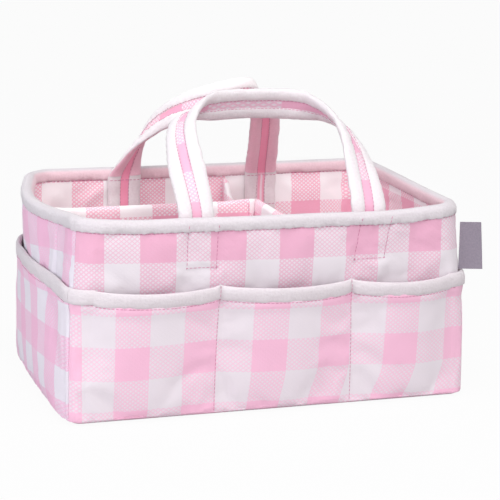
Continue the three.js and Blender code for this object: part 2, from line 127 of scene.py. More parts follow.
room = bpy.data.worlds.new("white_room")
scene.world = room
room.use_nodes = True
room_tree = room.node_tree
room_light = room_tree.nodes["Background"]
room_seen = node(room_tree, "ShaderNodeBackground")
for background, strength in ((room_light, 0.39), (room_seen, 1)):
    background.inputs["Color"].default_value = (1, 1, 1, 1)
    background.inputs["Strength"].default_value = strength
rays = node(room_tree, "ShaderNodeLightPath").outputs
looking = sum_of(room_tree, "MAXIMUM", rays["Is Camera Ray"], rays["Is Glossy Ray"])
show_for(room_tree, looking, room_light, room_seen, room_tree.nodes["World Output"].inputs["Surface"])

floor_whiteness = 0.95
floor_mesh = bpy.data.meshes.new("floor")
floor_mesh.from_pydata([(-6, -6, 0), (6, -6, 0), (6, 6, 0), (-6, 6, 0)], [], [(0, 1, 2, 3)])
floor = bpy.data.objects.new("floor", floor_mesh)
scene.collection.objects.link(floor)
floor.location.z = -0.0006
floor_paint = bpy.data.materials.new("white_floor")
floor_paint.use_nodes = True
floor_tree = floor_paint.node_tree
floor_matt = floor_tree.nodes["Principled BSDF"]
floor_matt.inputs["Base Color"].default_value = (0.58, 0.575, 0.58, 1)
floor_matt.inputs["Roughness"].default_value = 0.9
floor_glow = node(floor_tree, "ShaderNodeEmission")
floor_glow.inputs["Strength"].default_value = 1
rays = node(floor_tree, "ShaderNodeLightPath").outputs
looking = sum_of(floor_tree, "MULTIPLY", rays["Is Camera Ray"], floor_whiteness)
show_for(floor_tree, looking, floor_matt, floor_glow, floor_tree.nodes["Material Output"].inputs["Surface"])
floor_mesh.materials.append(floor_paint)

# Base
# The outer base is one piece of checked cotton on thin wadding, cut with rounded corners and
# turned up all round, where the walls and pockets are sewn to it. Sizes are in millimetres.
base_length = 313
base_width = 208
rim_length = 301.6
rim_width = 205
rim_height = 156
base_corner = 9
rim_corner = 22
base_edge = 4
corner_seam = 62
front_bow = 9.5
back_bow = 6.5
side_bow = 0.8
bow_power = 1.5
left_belly = 15
belly_y = 18
belly_reach = 85
belly_power = 1.27
base_top = 2.3
base_cloth_top = 2.0
seam_at = {"front": 1 + 2 * corner_seam / 90, "back": 1 + 2 * corner_seam / 90}
seam_at["left"] = seam_at["right"] = 4 - seam_at["front"]
seam_gap = 0.2 / 60
sides = ("front", "right", "back", "left")


def per_side(side, for_long, for_short):
    """One of two values, for the long sides and for the short ones."""
    return for_long if side in ("front", "back") else for_short


def mix(low, high, share):
    return low + (high - low) * share


def smooth(share):
    share = np.clip(share, 0, 1)
    return share * share * (3 - 2 * share)


def plan(z):
    """The box's plan at a height: half its sides, its corner radius, and how far it has bowed."""
    up = np.maximum(z, 0) / rim_height
    flare = up * up
    half_x = mix(base_length, rim_length, flare) / 2
    half_y = mix(base_width, rim_width, flare) / 2
    return half_x, half_y, mix(base_corner, rim_corner, flare), up ** bow_power


def straight_half(side, z):
    half_x, half_y, corner, _ = plan(z)
    return per_side(side, half_x, half_y) - corner


def on_wall(side, q, inset, z):
    """Points on a wall: q is -1 to 1 along its straight part and goes on round the corners."""
    q, inset, z = np.broadcast_arrays(np.asarray(q, float), np.asarray(inset, float), np.asarray(z, float))
    half_x, half_y, corner, bow = plan(z)
    half, depth = per_side(side, (half_x, half_y), (half_y, half_x))
    drop = np.clip(base_edge - z, 0, base_edge)
    sunk = inset + base_edge - np.sqrt(base_edge ** 2 - drop ** 2)
    angle = np.maximum(np.abs(q) - 1, 0) * math.pi / 4
    along = np.clip(q, -1, 1) * (half - corner) + np.sign(q) * (corner - sunk) * np.sin(angle)
    out = depth - corner + (corner - sunk) * np.cos(angle)
    turned = {"front": (along, -out), "right": (out, along), "back": (-along, out), "left": (-out, -along)}
    x, y = turned[side]
    near_x = 1 - np.minimum(1, (x / half_x) ** 2)
    near_y = 1 - np.minimum(1, (y / half_y) ** 2)
    bow_y = np.where(y < 0, front_bow, back_bow) * bow
    belly = np.maximum(0, 1 - ((y - belly_y) / belly_reach) ** 2) ** 2
    belly = left_belly * bow ** belly_power * (x < 0) * belly
    bowed_x = x * (1 + side_bow * bow / half_x * near_y) - belly
    return np.stack([bowed_x, y * (1 + bow_y / half_y * near_x), z], axis=-1)


def waves(seed, *places):
    """Soft wandering numbers, about -1 to 1, from places given in turns of the longest wave."""
    dice = np.random.default_rng(seed)
    total = 0
    for octave in range(5):
        step = 1.63 ** octave
        for swing in [dice.normal(size=len(places)) * step for _ in range(2)]:
            phase = sum(place * s for place, s in zip(places, swing)) * 2 * math.pi
            total = total + np.sin(phase + dice.uniform(0, 6.3)) / step
    return total / 2.6


def grid_faces(rows, columns, first=0, flipped=False):
    at = first + np.arange(rows * columns).reshape(rows, columns)
    a, b, c, d = at[:-1, :-1], at[:-1, 1:], at[1:, 1:], at[1:, :-1]
    order = (a, d, c, b) if flipped else (a, b, c, d)
    return np.stack([corner.ravel() for corner in order], axis=1)


def lay_weave(mesh, weave):
    """Writes the map that the weave follows, from one place for each point of the mesh."""
    corner = np.zeros(len(mesh.loops), np.int64)
    mesh.loops.foreach_get("vertex_index", corner)
    spots = np.asarray(weave, float).reshape(-1, 2)[corner]
    mesh.uv_layers["weave"].data.foreach_set("uv", spots.astype(np.float32).ravel())


def make_piece(name, points, faces, weave, material, sharp=55):
    """A mesh object in place, from points in millimetres and a map that the weave follows."""
    mesh = bpy.data.meshes.new(name)
    places = np.asarray(points, float).reshape(-1, 3) * 0.001
    mesh.from_pydata(places.tolist(), [], [list(map(int, f)) for f in faces])
    mesh.uv_layers.new(name="weave")
    lay_weave(mesh, weave)
    mesh.polygons.foreach_set("use_smooth", [True] * len(mesh.polygons))
    mesh.set_sharp_from_angle(angle=math.radians(sharp))
    mesh.materials.append(material)
    mesh.validate()
    piece = bpy.data.objects.new(name, mesh)
    scene.collection.objects.link(piece)
    return piece


def finish(name, specular, sheen=0, sheen_roughness=0.5):
    """A new material with its soft shine, and its tree and shader."""
    material = bpy.data.materials.new(name)
    material.use_nodes = True
    shader = material.node_tree.nodes["Principled BSDF"]
    shader.inputs["Specular IOR Level"].default_value = specular
    shader.inputs["Sheen Weight"].default_value = sheen
    shader.inputs["Sheen Roughness"].default_value = sheen_roughness
    return material, material.node_tree, shader


def weave_place(tree):
    """A piece's weave map, whole and in its two directions."""
    spot = node(tree, "ShaderNodeUVMap", uv_map="weave").outputs["UV"]
    parts = node(tree, "ShaderNodeSeparateXYZ")
    tree.links.new(spot, parts.inputs[0])
    return spot, parts.outputs["X"], parts.outputs["Y"]


def noise(tree, place, scale, detail=2, roughness=0.5):
    made = node(tree, "ShaderNodeTexNoise")
    made.inputs["Scale"].default_value = scale
    made.inputs["Detail"].default_value = detail
    made.inputs["Roughness"].default_value = roughness
    tree.links.new(place, made.inputs["Vector"])
    return made.outputs["Fac"]


def colour_mix(tree, share, low, high, blend="MIX"):
    """A colour from two, each plain or another node's, by a share."""
    made = node(tree, "ShaderNodeMix", data_type="RGBA", blend_type=blend)
    tree.links.new(share, made.inputs[0])
    for place, colour in ((6, low), (7, high)):
        if isinstance(colour, tuple):
            made.inputs[place].default_value = (*colour, 1)
        else:
            tree.links.new(colour, made.inputs[place])
    return made.outputs[2]


def raise_by(tree, shader, height, strength, depth):
    """Gives a surface a fine relief that follows its own pattern."""
    bump = node(tree, "ShaderNodeBump")
    bump.inputs["Strength"].default_value = strength
    bump.inputs["Distance"].default_value = depth
    tree.links.new(height, bump.inputs["Height"])
    tree.links.new(bump.outputs["Normal"], shader.inputs["Normal"])


repeat = 52.9
band_share = 0.51
lattice_lines = 13.5
lattice_slope = 1.13


def check_cloth(name, pink, white, lattice=(0.62, 0.1)):
    """Brushed cotton in a buffalo check: solid where two pink bands cross, plain where two white
    bands cross, and a fine slanting lattice of both where a pink band crosses a white one."""
    material, tree, shader = finish(name, specular=0.2, sheen=0.25, sheen_roughness=0.6)
    spot, u, v = weave_place(tree)
    column = sum_of(tree, "LESS_THAN", sum_of(tree, "FRACT", u), band_share)
    row = sum_of(tree, "LESS_THAN", sum_of(tree, "FRACT", v), band_share)
    steep = sum_of(tree, "MULTIPLY", v, lattice_slope)
    bars = []
    for way in ("ADD", "SUBTRACT"):
        lines = sum_of(tree, "MULTIPLY", sum_of(tree, way, u, steep), lattice_lines)
        lines = sum_of(tree, "MULTIPLY_ADD", sum_of(tree, "FRACT", lines), 2, -1)
        bars.append(sum_of(tree, "ABSOLUTE", lines))
    gap = sum_of(tree, "MINIMUM", bars[0], bars[1])
    wide = sum_of(tree, "MULTIPLY_ADD", column, 0.15, 0.25)
    bar = sum_of(tree, "MULTIPLY_ADD", sum_of(tree, "SUBTRACT", wide, gap), 7, 0.5, clamp=True)
    faded = sum_of(tree, "MULTIPLY_ADD", bar, *lattice)
    both = sum_of(tree, "MULTIPLY", column, row)
    one = sum_of(tree, "SUBTRACT", sum_of(tree, "MAXIMUM", column, row), both)
    pinkness = sum_of(tree, "MULTIPLY_ADD", one, faded, both)

    yarn = node(tree, "ShaderNodeMapping")
    yarn.inputs["Scale"].default_value = (14, 110, 1)
    tree.links.new(spot, yarn.inputs["Vector"])
    slub = noise(tree, yarn.outputs["Vector"], scale=1)
    patch = noise(tree, spot, scale=2.2, detail=3)
    strength = sum_of(tree, "MULTIPLY_ADD", slub, 0.34, 0.83)
    strength = sum_of(tree, "MULTIPLY", strength, sum_of(tree, "MULTIPLY_ADD", patch, 0.2, 0.9))
    dyed = sum_of(tree, "MULTIPLY", pinkness, strength, clamp=True)
    tree.links.new(colour_mix(tree, dyed, white, pink), shader.inputs["Base Color"])

    fluff = noise(tree, spot, scale=70, detail=3)
    rough = sum_of(tree, "MULTIPLY_ADD", fluff, 0.16, 0.8, clamp=True)
    tree.links.new(rough, shader.inputs["Roughness"])
    ribs = sum_of(tree, "SINE", sum_of(tree, "MULTIPLY", sum_of(tree, "ADD", u, v), 400))
    nap = sum_of(tree, "MULTIPLY_ADD", bar, 0.35, fluff)
    pile = sum_of(tree, "ADD", nap, sum_of(tree, "MULTIPLY", ribs, 0.12))
    raise_by(tree, shader, pile, strength=0.35, depth=0.0004)
    return material


check_cotton = check_cloth("pink_check_cotton", (0.775, 0.405, 0.55), (0.76, 0.70, 0.745))
# A bluish lavender copy of the check, painted with the shade that falls on the left side of the box; the left
# wall and left pocket wear it.
painted_shade_cotton = check_cloth("painted_shade_check_cotton", (0.87, 0.47, 0.66), (0.80, 0.745, 0.82), (0.4, 0.48))


def run_along(points):
    """Length along a row of points, from its first to each."""
    return np.concatenate([[0], np.cumsum(np.linalg.norm(np.diff(points, axis=0), axis=1))])


def girths(grid, q):
    """Length along each row of a grid of points on a wall, from the wall's middle."""
    length = np.array([run_along(row) for row in grid])
    return length - np.array([[np.interp(0, q, row)] for row in length])


def girth(side, q, inset, z=80):
    """The same for one row, at a height."""
    return girths(on_wall(side, q, inset, z)[None], q)[0]


def columns_between(side, straight_steps, corner_steps):
    seam = seam_at[side]
    return np.concatenate([
        np.linspace(-seam, -1, corner_steps + 1)[:-1],
        np.linspace(-1, 1, straight_steps + 1),
        np.linspace(1, seam, corner_steps + 1)[1:],
    ])


def sewn_columns(side, straight_steps, corner_steps, seams=()):
    """Columns of a cloth that stops a hair short of its corner seams, with one on each seam."""
    q = columns_between(side, straight_steps, corner_steps)
    for seam in seams:
        q[np.argmin(np.abs(q - seam))] = seam
    q[[0, -1]] *= 1 - seam_gap
    return q


def outline(inset, z):
    """The box's plan at a height, once round from the front left seam."""
    rings = []
    for side in sides:
        q = columns_between(side, per_side(side, 60, 40), 6)
        rings.append(on_wall(side, q, inset, z)[:-1])
    return np.concatenate(rings)


def disc(rings, middle):
    """Points and faces of a sheet made of rings round a middle point, the last ring outermost."""
    size = len(rings[0])
    points = np.concatenate([[middle], *rings])
    faces = [(0, 1 + i, 1 + (i + 1) % size) for i in range(size)]
    for ring in range(len(rings) - 1):
        low = 1 + ring * size
        for i in range(size):
            after = (i + 1) % size
            faces.append((low + i, low + size + i, low + size + after, low + after))
    return points, faces


def closed_disc(lower, upper, rise):
    """A sheet with two faces: rings from the middle out underneath, and back in on top."""
    size = len(lower[0])
    low_points, low_faces = disc(lower, (0, 0, lower[0][0, 2]))
    high_points, high_faces = disc(upper, (0, 0, upper[0][0, 2] + rise))
    shift = len(low_points)
    faces = [tuple(reversed(f)) for f in low_faces] + [tuple(i + shift for i in f) for f in high_faces]
    a, b = shift - size, shift + len(high_points) - size
    faces += [(a + i, a + (i + 1) % size, b + (i + 1) % size, b + i) for i in range(size)]
    return np.concatenate([low_points, high_points]), faces


shares = (0.15, 0.3, 0.45, 0.6, 0.75, 0.88, 0.96)
foot = outline(0, 0)
turn_up = (0, 0.2, 0.6, 1.2, 1.9)
under = [foot * (s, s, 1) for s in shares] + [outline(0, z) for z in turn_up]
for ring in under[:6]:
    ring[:, 2] += 0.25 * (1 + waves(3, ring[:, 0] / 160, ring[:, 1] / 160))
above = [outline(4, base_cloth_top) * (s, s, 1) for s in shares]
above += [outline(inset, base_cloth_top) for inset in (1.5, 0.3)]
points, faces = closed_disc(under, above, 0)
base_cloth = make_piece("base_cloth", points, faces, points[:, :2] / repeat + (0.2, 0.3), check_cotton)
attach(base_cloth, "caddy_body")
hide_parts("base_panel")

# Boards
# Stiff needled felt boards stand inside each wall and lie in the base. They are cut flat and
# slid between outer cloth and lining, so they are seen only while it is being made. The left
# one has bent outwards with its wall.
felt, felt_tree, felt_shader = finish("grey_felt", specular=0.1)
felt_place = node(felt_tree, "ShaderNodeTexCoord").outputs["Object"]
felt_fibre = noise(felt_tree, felt_place, scale=900, detail=4)
felt_grey = colour_mix(felt_tree, felt_fibre, (0.36, 0.34, 0.33), (0.6, 0.58, 0.56))
felt_tree.links.new(felt_grey, felt_shader.inputs["Base Color"])
felt_rough = sum_of(felt_tree, "MULTIPLY_ADD", felt_fibre, 0.2, 0.8, clamp=True)
felt_tree.links.new(felt_rough, felt_shader.inputs["Roughness"])
raise_by(felt_tree, felt_shader, felt_fibre, strength=0.4, depth=0.0005)
for board in ("base_board", "front_board", "right_board", "back_board"):
    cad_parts[board].data.materials.clear()
    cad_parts[board].data.materials.append(felt)


def two_sided(name, outer, inner, weave, material, sharp=55):
    """A cloth with thickness: an outer and an inner grid of points, joined round the edge."""
    rows, columns = outer.shape[:2]
    size = rows * columns
    low = np.arange(columns)
    high = low + (rows - 1) * columns
    left = np.arange(rows) * columns
    right = left + columns - 1
    faces = [grid_faces(rows, columns), grid_faces(rows, columns, size, flipped=True)]
    for edge, way in ((low, -1), (high, 1), (left, 1), (right, -1)):
        a, b = (edge[:-1], edge[1:]) if way > 0 else (edge[1:], edge[:-1])
        faces.append(np.stack([a, b, b + size, a + size], axis=1))
    points = np.concatenate([outer.reshape(-1, 3), inner.reshape(-1, 3)])
    both_weaves = np.concatenate([weave.reshape(-1, 2)] * 2)
    return make_piece(name, points, np.concatenate(faces), both_weaves, material, sharp)


board_q, board_z = np.meshgrid(np.linspace(-0.995, 0.995, 40), np.linspace(5.4, 144.5, 30))
board_faces = [on_wall("left", board_q, inset, board_z) for inset in (2.3, 5.5)]
bent_board = two_sided("left_bent_board", *board_faces, np.stack([board_q, board_z], -1), felt)
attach(bent_board, "caddy_body")
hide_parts("left_board")
board_of = {side: f"{side}_board" for side in sides}
board_of["left"] = "left_bent_board"

# Outer walls
# Each wall has an outer cloth of checked cotton on thin wadding, stretched over its board. It is
# sewn at the base, the four corners and the rim, and through the box of stitches that holds
# each end of a strap, so it puffs a little in between and drags into folds there.
panel_thick = 2
rim_sag = {"front": 1.6, "right": 0.4, "back": 1.2, "left": 5}
front_drop = 2.4
front_dips = ((90, 2.0, 40), (-105, 1.0, 25))
under_crown = 2.3
box_inset = {"front": [(-70, -47.5), (62.5, 87)], "back": [(-80.5, -56.5), (41.5, 64.5)]}
box_bottom = 115
box_top = 146
pocket_line = 96
rim_catch = 8
corner_catch = 1.6
sewn_half = 2


def rim_top(side, q):
    spot = on_wall(side, q, 0, rim_height)
    dips = sum(depth * np.exp(-((spot[..., 0] - place) / reach) ** 2) for place, depth, reach in front_dips)
    sag = rim_sag[side] * (1 - np.minimum(1, np.abs(q)) ** 2)
    return rim_height - (front_drop + dips) * smooth(0.5 - spot[..., 1] / 150) - sag


def on_cloth(side, along, z, out=0):
    """A point on a wall at a distance along it from its middle, in millimetres."""
    return on_wall(side, along / straight_half(side, z), -out, z)


def outward(points):
    """Unit directions out of a grid of points whose rows rise and whose columns run along the wall."""
    out = np.cross(np.gradient(points, axis=1), np.gradient(points, axis=0))
    return out / np.maximum(np.linalg.norm(out, axis=-1, keepdims=True), 1e-9)


def pressed(piece, held, steps, **stuff):
    """Where a piece's points are after some steps of a cloth simulation, in millimetres."""
    pins = piece.vertex_groups.new(name="held")
    pins.add(held, 1, "REPLACE")
    cloth = piece.modifiers.new("cloth", "CLOTH")
    cloth.settings.vertex_group_mass = "held"
    cloth.settings.use_pressure = True
    cloth.settings.effector_weights.gravity = 0
    for key, value in stuff.items():
        setattr(cloth.settings, key, value)
    cloth.collision_settings.use_collision = False
    cloth.point_cache.frame_start = 1
    cloth.point_cache.frame_end = steps
    for step in range(1, steps + 1):
        scene.frame_set(step)
    shaped = piece.evaluated_get(bpy.context.evaluated_depsgraph_get())
    moved = np.zeros(len(piece.data.vertices) * 3, np.float32)
    shaped.data.vertices.foreach_get("co", moved)
    piece.modifiers.clear()
    scene.frame_set(1)
    return moved.reshape(-1, 3).astype(float) * 1000


def settle(points, held, push, slack, most_out, most_in):
    """Lets a grid of cloth with some slack settle under a push from behind, by simulation."""
    rows, columns = points.shape[:2]
    mesh = bpy.data.meshes.new("cloth_at_work")
    mesh.from_pydata((points.reshape(-1, 3) * 0.001).tolist(), [], grid_faces(rows, columns).tolist())
    worker = bpy.data.objects.new("cloth_at_work", mesh)
    scene.collection.objects.link(worker)
    moved = pressed(
        worker, [int(i) for i in np.flatnonzero(held.ravel())], 18, quality=6, mass=0.02,
        tension_stiffness=12, compression_stiffness=8, shear_stiffness=4, bending_stiffness=0.6,
        uniform_pressure_force=push, shrink_min=-slack,
    )
    bpy.data.objects.remove(worker)
    bpy.data.meshes.remove(mesh)
    out = outward(points)
    shift = np.nan_to_num(moved.reshape(points.shape) - points)
    rise = (shift * out).sum(-1, keepdims=True)
    sideways = shift - rise * out
    size = np.linalg.norm(sideways, axis=-1, keepdims=True)
    sideways *= np.minimum(1, 1.2 / np.maximum(size, 1e-9))
    rise = np.where(rise > 0, most_out * np.tanh(rise / most_out), most_in * np.tanh(rise / most_in))
    return points + sideways + rise * out


def fold(points, start, end, width, height, taper=1.0):
    """Raises a soft fold, or sinks a dent where height is below 0, along a line on a grid of cloth."""
    start, end = np.array(start, float), np.array(end, float)
    line = end - start
    share = np.clip(((points - start) @ line) / (line @ line), 0, 1)
    off = points - (start + share[..., None] * line)
    near = np.exp(-(np.linalg.norm(off, axis=-1) / width) ** 2)
    rise = near * height * (1 - taper * (1 - np.sin(np.pi * (0.15 + 0.7 * share))))
    return points + outward(points) * rise[..., None]


def box_sides(side, left, right):
    """The three sewn sides of the box of stitches that holds a strap's end."""
    lean = -3 if side == "front" and left > 0 else -0.5
    low_left, low_right = (left + lean / 2, box_bottom), (right + lean / 2, box_bottom)
    corners = [(left - lean, box_top), low_left, low_right, (right - lean, box_top)]
    return zip(corners[:-1], corners[1:])


def columns_of_bands(first, count):
    """The weave's numbers at the edges of the bands, from one edge on."""
    edges = [whole + part for whole in range(-2, 8) for part in (0, band_share)]
    return edges[edges.index(first):][:count]


tuck_y = -47.2
left_bands = (-88.9, -65.6, tuck_y - 0.2, tuck_y + 0.2, -31.5, -12, 11.2, 37, 63, 89, 115)
wall_weave = {
    "front": lambda along, z, y: ((along - 0.3) / 52.95, (z + 0.014 * along - 119.3) / 50),
    "right": lambda along, z, y: ((along + 8) / repeat, (z - 118) / 50),
    "back": lambda along, z, y: ((along + 20) / repeat, (z - 119) / 50),
    "left": lambda along, z, y: (
        np.interp(y, (-120, *left_bands), [-0.6, 0, band_share, 0.9, 0.6, *columns_of_bands(1, 7)]),
        (z + 0.115 * y - 114.9) / 50,
    ),
}
drag_folds = (
    (-72, 114, -88, 100, 6, 1.3), (-70, 113, -78, 98, 3.5, -0.8), (-46, 114, -38, 103, 4, 0.7),
    (63, 112, 60, 100, 4, 0.8), (84, 113, 96, 102, 4.5, 1.3), (88, 112, 92, 99, 2.5, -1.0),
    (78, 112, 84, 100, 3, 1.0), (100, 101, 118, 98, 3.5, -0.8), (-84, 139, -74, 120, 6, 0.7),
)

for side in sides:
    q = sewn_columns(side, per_side(side, 88, 60), 6)
    if side == "left":
        q = np.sort(np.append(q, [-(tuck_y + shift) / straight_half(side, 120) for shift in (0.25, -0.25)]))
    low_rows = np.linspace(base_top, base_edge, 4)
    top = rim_top(side, q) - under_crown
    share = np.linspace(0, 1, 50)[1:, None]
    z = np.concatenate([np.repeat(low_rows[:, None], len(q), 1), mix(base_edge, top[None, :], share)])
    across = np.broadcast_to(q, z.shape)
    skin = on_wall(side, across, 0, z)
    inner = on_wall(side, across, panel_thick, z)
    along = girths(skin, q)
    held = (z < pocket_line) | (z - base_top > (top - base_top)[None, :] - rim_catch)
    held |= np.abs(across) > corner_catch
    boxes = box_inset.get(side, [])
    for left, right in boxes:
        inside = (along > left - sewn_half) & (along < right + sewn_half) & (z > box_bottom - sewn_half)
        core = (along > left + sewn_half) & (along < right - sewn_half) & (z > box_bottom + sewn_half)
        held |= inside & ~core
    if side == "left":
        held |= (np.abs(skin[..., 1] - tuck_y) < sewn_half) & (z > pocket_line)
    ripple = 0.15 * waves(11, along / 70, z / 70)
    skin = skin + outward(skin) * ripple[..., None] * ~held[..., None]
    skin = settle(skin, held, push=0.6, slack=0.012, most_out=2.2, most_in=0.8)
    for left, right in boxes:
        for start, end in box_sides(side, left, right):
            ends = on_cloth(side, *start), on_cloth(side, *end)
            skin = fold(skin, *ends, width=1.3, height=-1.0, taper=0)
    if side == "front":
        for a0, z0, a1, z1, wide, high in drag_folds:
            skin = fold(skin, on_cloth(side, a0, z0), on_cloth(side, a1, z1), wide, high)
    if side == "left":
        start, end = [on_cloth(side, -tuck_y, high) for high in (pocket_line, 148)]
        skin = fold(skin, start, end, width=1.1, height=-1.3, taper=0)
        skin = fold(skin, start + (0, 5, 0), end + (0, 5, 0), width=4, height=0.9, taper=0)
    weave = np.stack(wall_weave[side](along, z, skin[..., 1]), -1)
    # The left wall wears the copy with the side's painted lavender shade.
    cotton = painted_shade_cotton if side == "left" else check_cotton
    cloth = two_sided(f"{side}_outer_cloth", skin, inner, weave, cotton)
    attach(cloth, "caddy_body")
    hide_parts(f"{side}_panel")

# Lining
# The lining is the same checked cotton without wadding, painted lighter and pinker for the light
# bounced round inside the box: four walls and a floor, sewn up as a loose inner bag and caught at
# the rim, so it hangs in shallow folds from the ends of the straps.
wall_thick = 7.4
lining_thick = 1.6
lining_inset = 5.8
board_bottom = 5.3
floor_top = 6.9
floor_inset = 8.6
binding_catch = 14
floor_catch = 11
back_bands = (-111.9, -85, -58, -31, -4.5, 22, 46, 54, 81.2, 107.5)
lining_weave = {
    "front": lambda x, y, z: ((x + 9) / repeat, (z - 97) / 49.5),
    "right": lambda x, y, z: ((y + 22) / repeat, (z - 114) / 49.5),
    "back": lambda x, y, z: (
        np.interp(
            x, (-165, *back_bands, 125.5, 127.5, 165), [-1, *columns_of_bands(0, 10), 4.93, 5.03, 5.48]),
        (z - 95.3) / 49.5,
    ),
    "left": lambda x, y, z: ((y - 62) / repeat, (z - 95.3) / 49.5),
}
hanging_folds = (
    (-84, 141, -108, 118, 3.5, 2.2), (-90, 136, -104, 122, 2.5, -1.2), (-50, 143, -42, 122, 3.5, 0.9),
    (34, 143, 28, 122, 3.5, 0.8), (72, 143, 90, 122, 4, 1.0), (84, 141, 100, 130, 2.5, -0.6),
)
# Lighter and pinker than the outer cotton: painted light bounced round inside the box, on the walls, the
# floor and the divider pads.
lining_cotton = check_cloth("painted_light_lining_cotton", (0.92, 0.44, 0.58), (0.96, 0.92, 0.93), (0.68, 0.14))

for side in sides:
    q = sewn_columns(side, per_side(side, 80, 52), 5)
    top = rim_top(side, q) - under_crown
    z = mix(board_bottom, top[None, :], np.linspace(0, 1, 44)[:, None])
    across = np.broadcast_to(q, z.shape)
    face = on_wall(side, across, lining_inset + lining_thick, z)[:, ::-1]
    behind = on_wall(side, across, lining_inset, z)[:, ::-1]
    along = np.broadcast_to(girth(side, q, wall_thick), z.shape)[:, ::-1]
    held = (z > (top - binding_catch)[None, :]) | (z < floor_catch) | (np.abs(across) > 1.5)
    held = held[:, ::-1]
    swell = 0.25 * waves(23, along / 90, z / 90)
    face = face + outward(face) * (swell * ~held)[..., None]
    face = settle(face, held, push=0.5, slack=0.014, most_out=1.8, most_in=0.9)
    if side == "back":
        for x0, z0, x1, z1, wide, high in hanging_folds:
            start, end = on_cloth(side, -x0, z0, -wall_thick), on_cloth(side, -x1, z1, -wall_thick)
            face = fold(face, start, end, wide, high)
    weave = np.stack(lining_weave[side](face[..., 0], face[..., 1], z[:, ::-1]), -1)
    cloth = two_sided(f"{side}_lining_cloth", face, behind, weave, lining_cotton)
    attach(cloth, "caddy_body")
    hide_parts(f"{side}_lining")

edge = outline(floor_inset, floor_top)
under = [edge * (s, s, 0) + (0, 0, board_bottom) for s in shares] + [outline(floor_inset, board_bottom)]
above = [edge * (s, s, 1) for s in shares] + [edge]
for ring in above[:-1]:
    near_edge = np.minimum(1, 4 * (1 - np.abs(ring[:, 1]) / 96).clip(0))
    ring[:, 2] += 0.5 * (1 + waves(31, ring[:, 0] / 120, ring[:, 1] / 120)) * near_edge
points, faces = closed_disc(under, above, 0.5)
floor_cloth = make_piece("floor_lining_cloth", points, faces, points[:, :2] / repeat, lining_cotton)
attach(floor_cloth, "caddy_body")
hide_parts("base_lining")

# Rim binding
# A white plush tape is folded over the raw edges of all the wall layers and sewn through along
# both its lower edges, which pull in a little between the stitches. Its ends meet in the front
# left corner.
binding_height = 10


def plush_cloth(name, colour, painted_bounce=(1, 1, 1), start=0, end=1):
    """Short white plush: a soft uneven pile with faint painted shade in its hollows. Between two
    places across the tape it gets a painted pink reflection of the cloth beside it."""
    material, tree, shader = finish(name, specular=0.15, sheen=0.35)
    spot, _, across_tape = weave_place(tree)
    tufts = noise(tree, spot, scale=0.55, detail=4, roughness=0.62)
    drift = noise(tree, spot, scale=0.05)
    # Darker and pinker where the pile's noise is low: painted shade in the hollows of the pile.
    shade = sum_of(tree, "MULTIPLY_ADD", tufts, 1.1, -0.15)
    shade = sum_of(tree, "MULTIPLY_ADD", drift, 0.25, shade, clamp=True)
    hollow_shade = tuple(c * s for c, s in zip(colour, (0.84, 0.78, 0.81)))
    # Between start and end across the tape the colour is multiplied by a pink tint: a painted reflection of
    # the pink cloth beside it.
    begun = sum_of(tree, "MULTIPLY_ADD", across_tape, 0.4, -0.4 * start, clamp=True)
    unfinished = sum_of(tree, "MULTIPLY_ADD", across_tape, -0.4, 0.4 * end, clamp=True)
    inside = sum_of(tree, "MULTIPLY", begun, unfinished)
    with_painted_bounce = colour_mix(tree, inside, colour_mix(tree, shade, hollow_shade, colour), painted_bounce, "MULTIPLY")
    tree.links.new(with_painted_bounce, shader.inputs["Base Color"])
    rough = sum_of(tree, "MULTIPLY_ADD", tufts, 0.2, 0.78, clamp=True)
    tree.links.new(rough, shader.inputs["Roughness"])
    raise_by(tree, shader, tufts, strength=0.7, depth=0.0008)
    return material


# The rim and pocket tapes are painted darker than the handles' plush, for the shade among their puckers; the
# rim tape's inner side also gets a painted pink reflection.
binding_plush = plush_cloth("binding_plush", (0.71, 0.675, 0.70), painted_bounce=(1.22, 0.97, 1.0), start=21, end=33)
pocket_plush = plush_cloth("pocket_plush", (0.73, 0.685, 0.71))


def tidy_normals(mesh):
    shell = bmesh.new()
    shell.from_mesh(mesh)
    bmesh.ops.recalc_face_normals(shell, faces=shell.faces)
    shell.to_mesh(mesh)
    shell.free()


def tube(name, rings, weave, material, looped, sharp=60):
    """A closed body from rings of points, joined in a loop or closed at both ends."""
    count, size = rings.shape[:2]
    at = np.arange(count * size).reshape(count, size)
    if looped:
        at = np.concatenate([at, at[:1]])
    at = np.concatenate([at, at[:, :1]], axis=1)
    a, b, c, d = at[:-1, :-1], at[:-1, 1:], at[1:, 1:], at[1:, :-1]
    faces = np.stack([part.ravel() for part in (a, b, c, d)], axis=1).tolist()
    if not looped:
        faces.append(list(range(size - 1, -1, -1)))
        faces.append([(count - 1) * size + i for i in range(size)])
    piece = make_piece(name, rings.reshape(-1, 3), faces, weave, material, sharp)
    tidy_normals(piece.data)
    return piece


rim_section = np.array([
    (-0.3, -9.2), (-0.3, -6), (-0.3, -2.1), (3.7, -2.1), (7.7, -2.1), (7.7, -6), (7.7, -9.2),
    (8.3, -9.7), (8.8, -9.0), (9.0, -7.2), (9.0, -5.0), (8.6, -3.0), (7.7, -1.5), (6.4, -0.6),
    (5.0, -0.2), (3.7, -0.1), (2.4, -0.2), (1.0, -0.6), (-0.3, -1.5), (-1.2, -3.0),
    (-1.6, -5.0), (-1.6, -7.2), (-1.4, -9.0), (-0.9, -9.7),
])
rim_profile = run_along(rim_section)
ring_places = []
run = 0
for side in sides:
    q = columns_between(side, per_side(side, 230, 150), 14)[:-1]
    length = girth(side, np.append(q, seam_at[side]), 0, 150)
    ring_places += [(side, spot, run + reach - length[0]) for spot, reach in zip(q, length[:-1])]
    run += length[-1] - length[0]
reach = np.array([place[2] for place in ring_places])
pucker = waves(41, reach / 24) * 0.5 + waves(42, reach / 8) * 0.8
swell = waves(43, reach / 60)
rings, weave = [], []
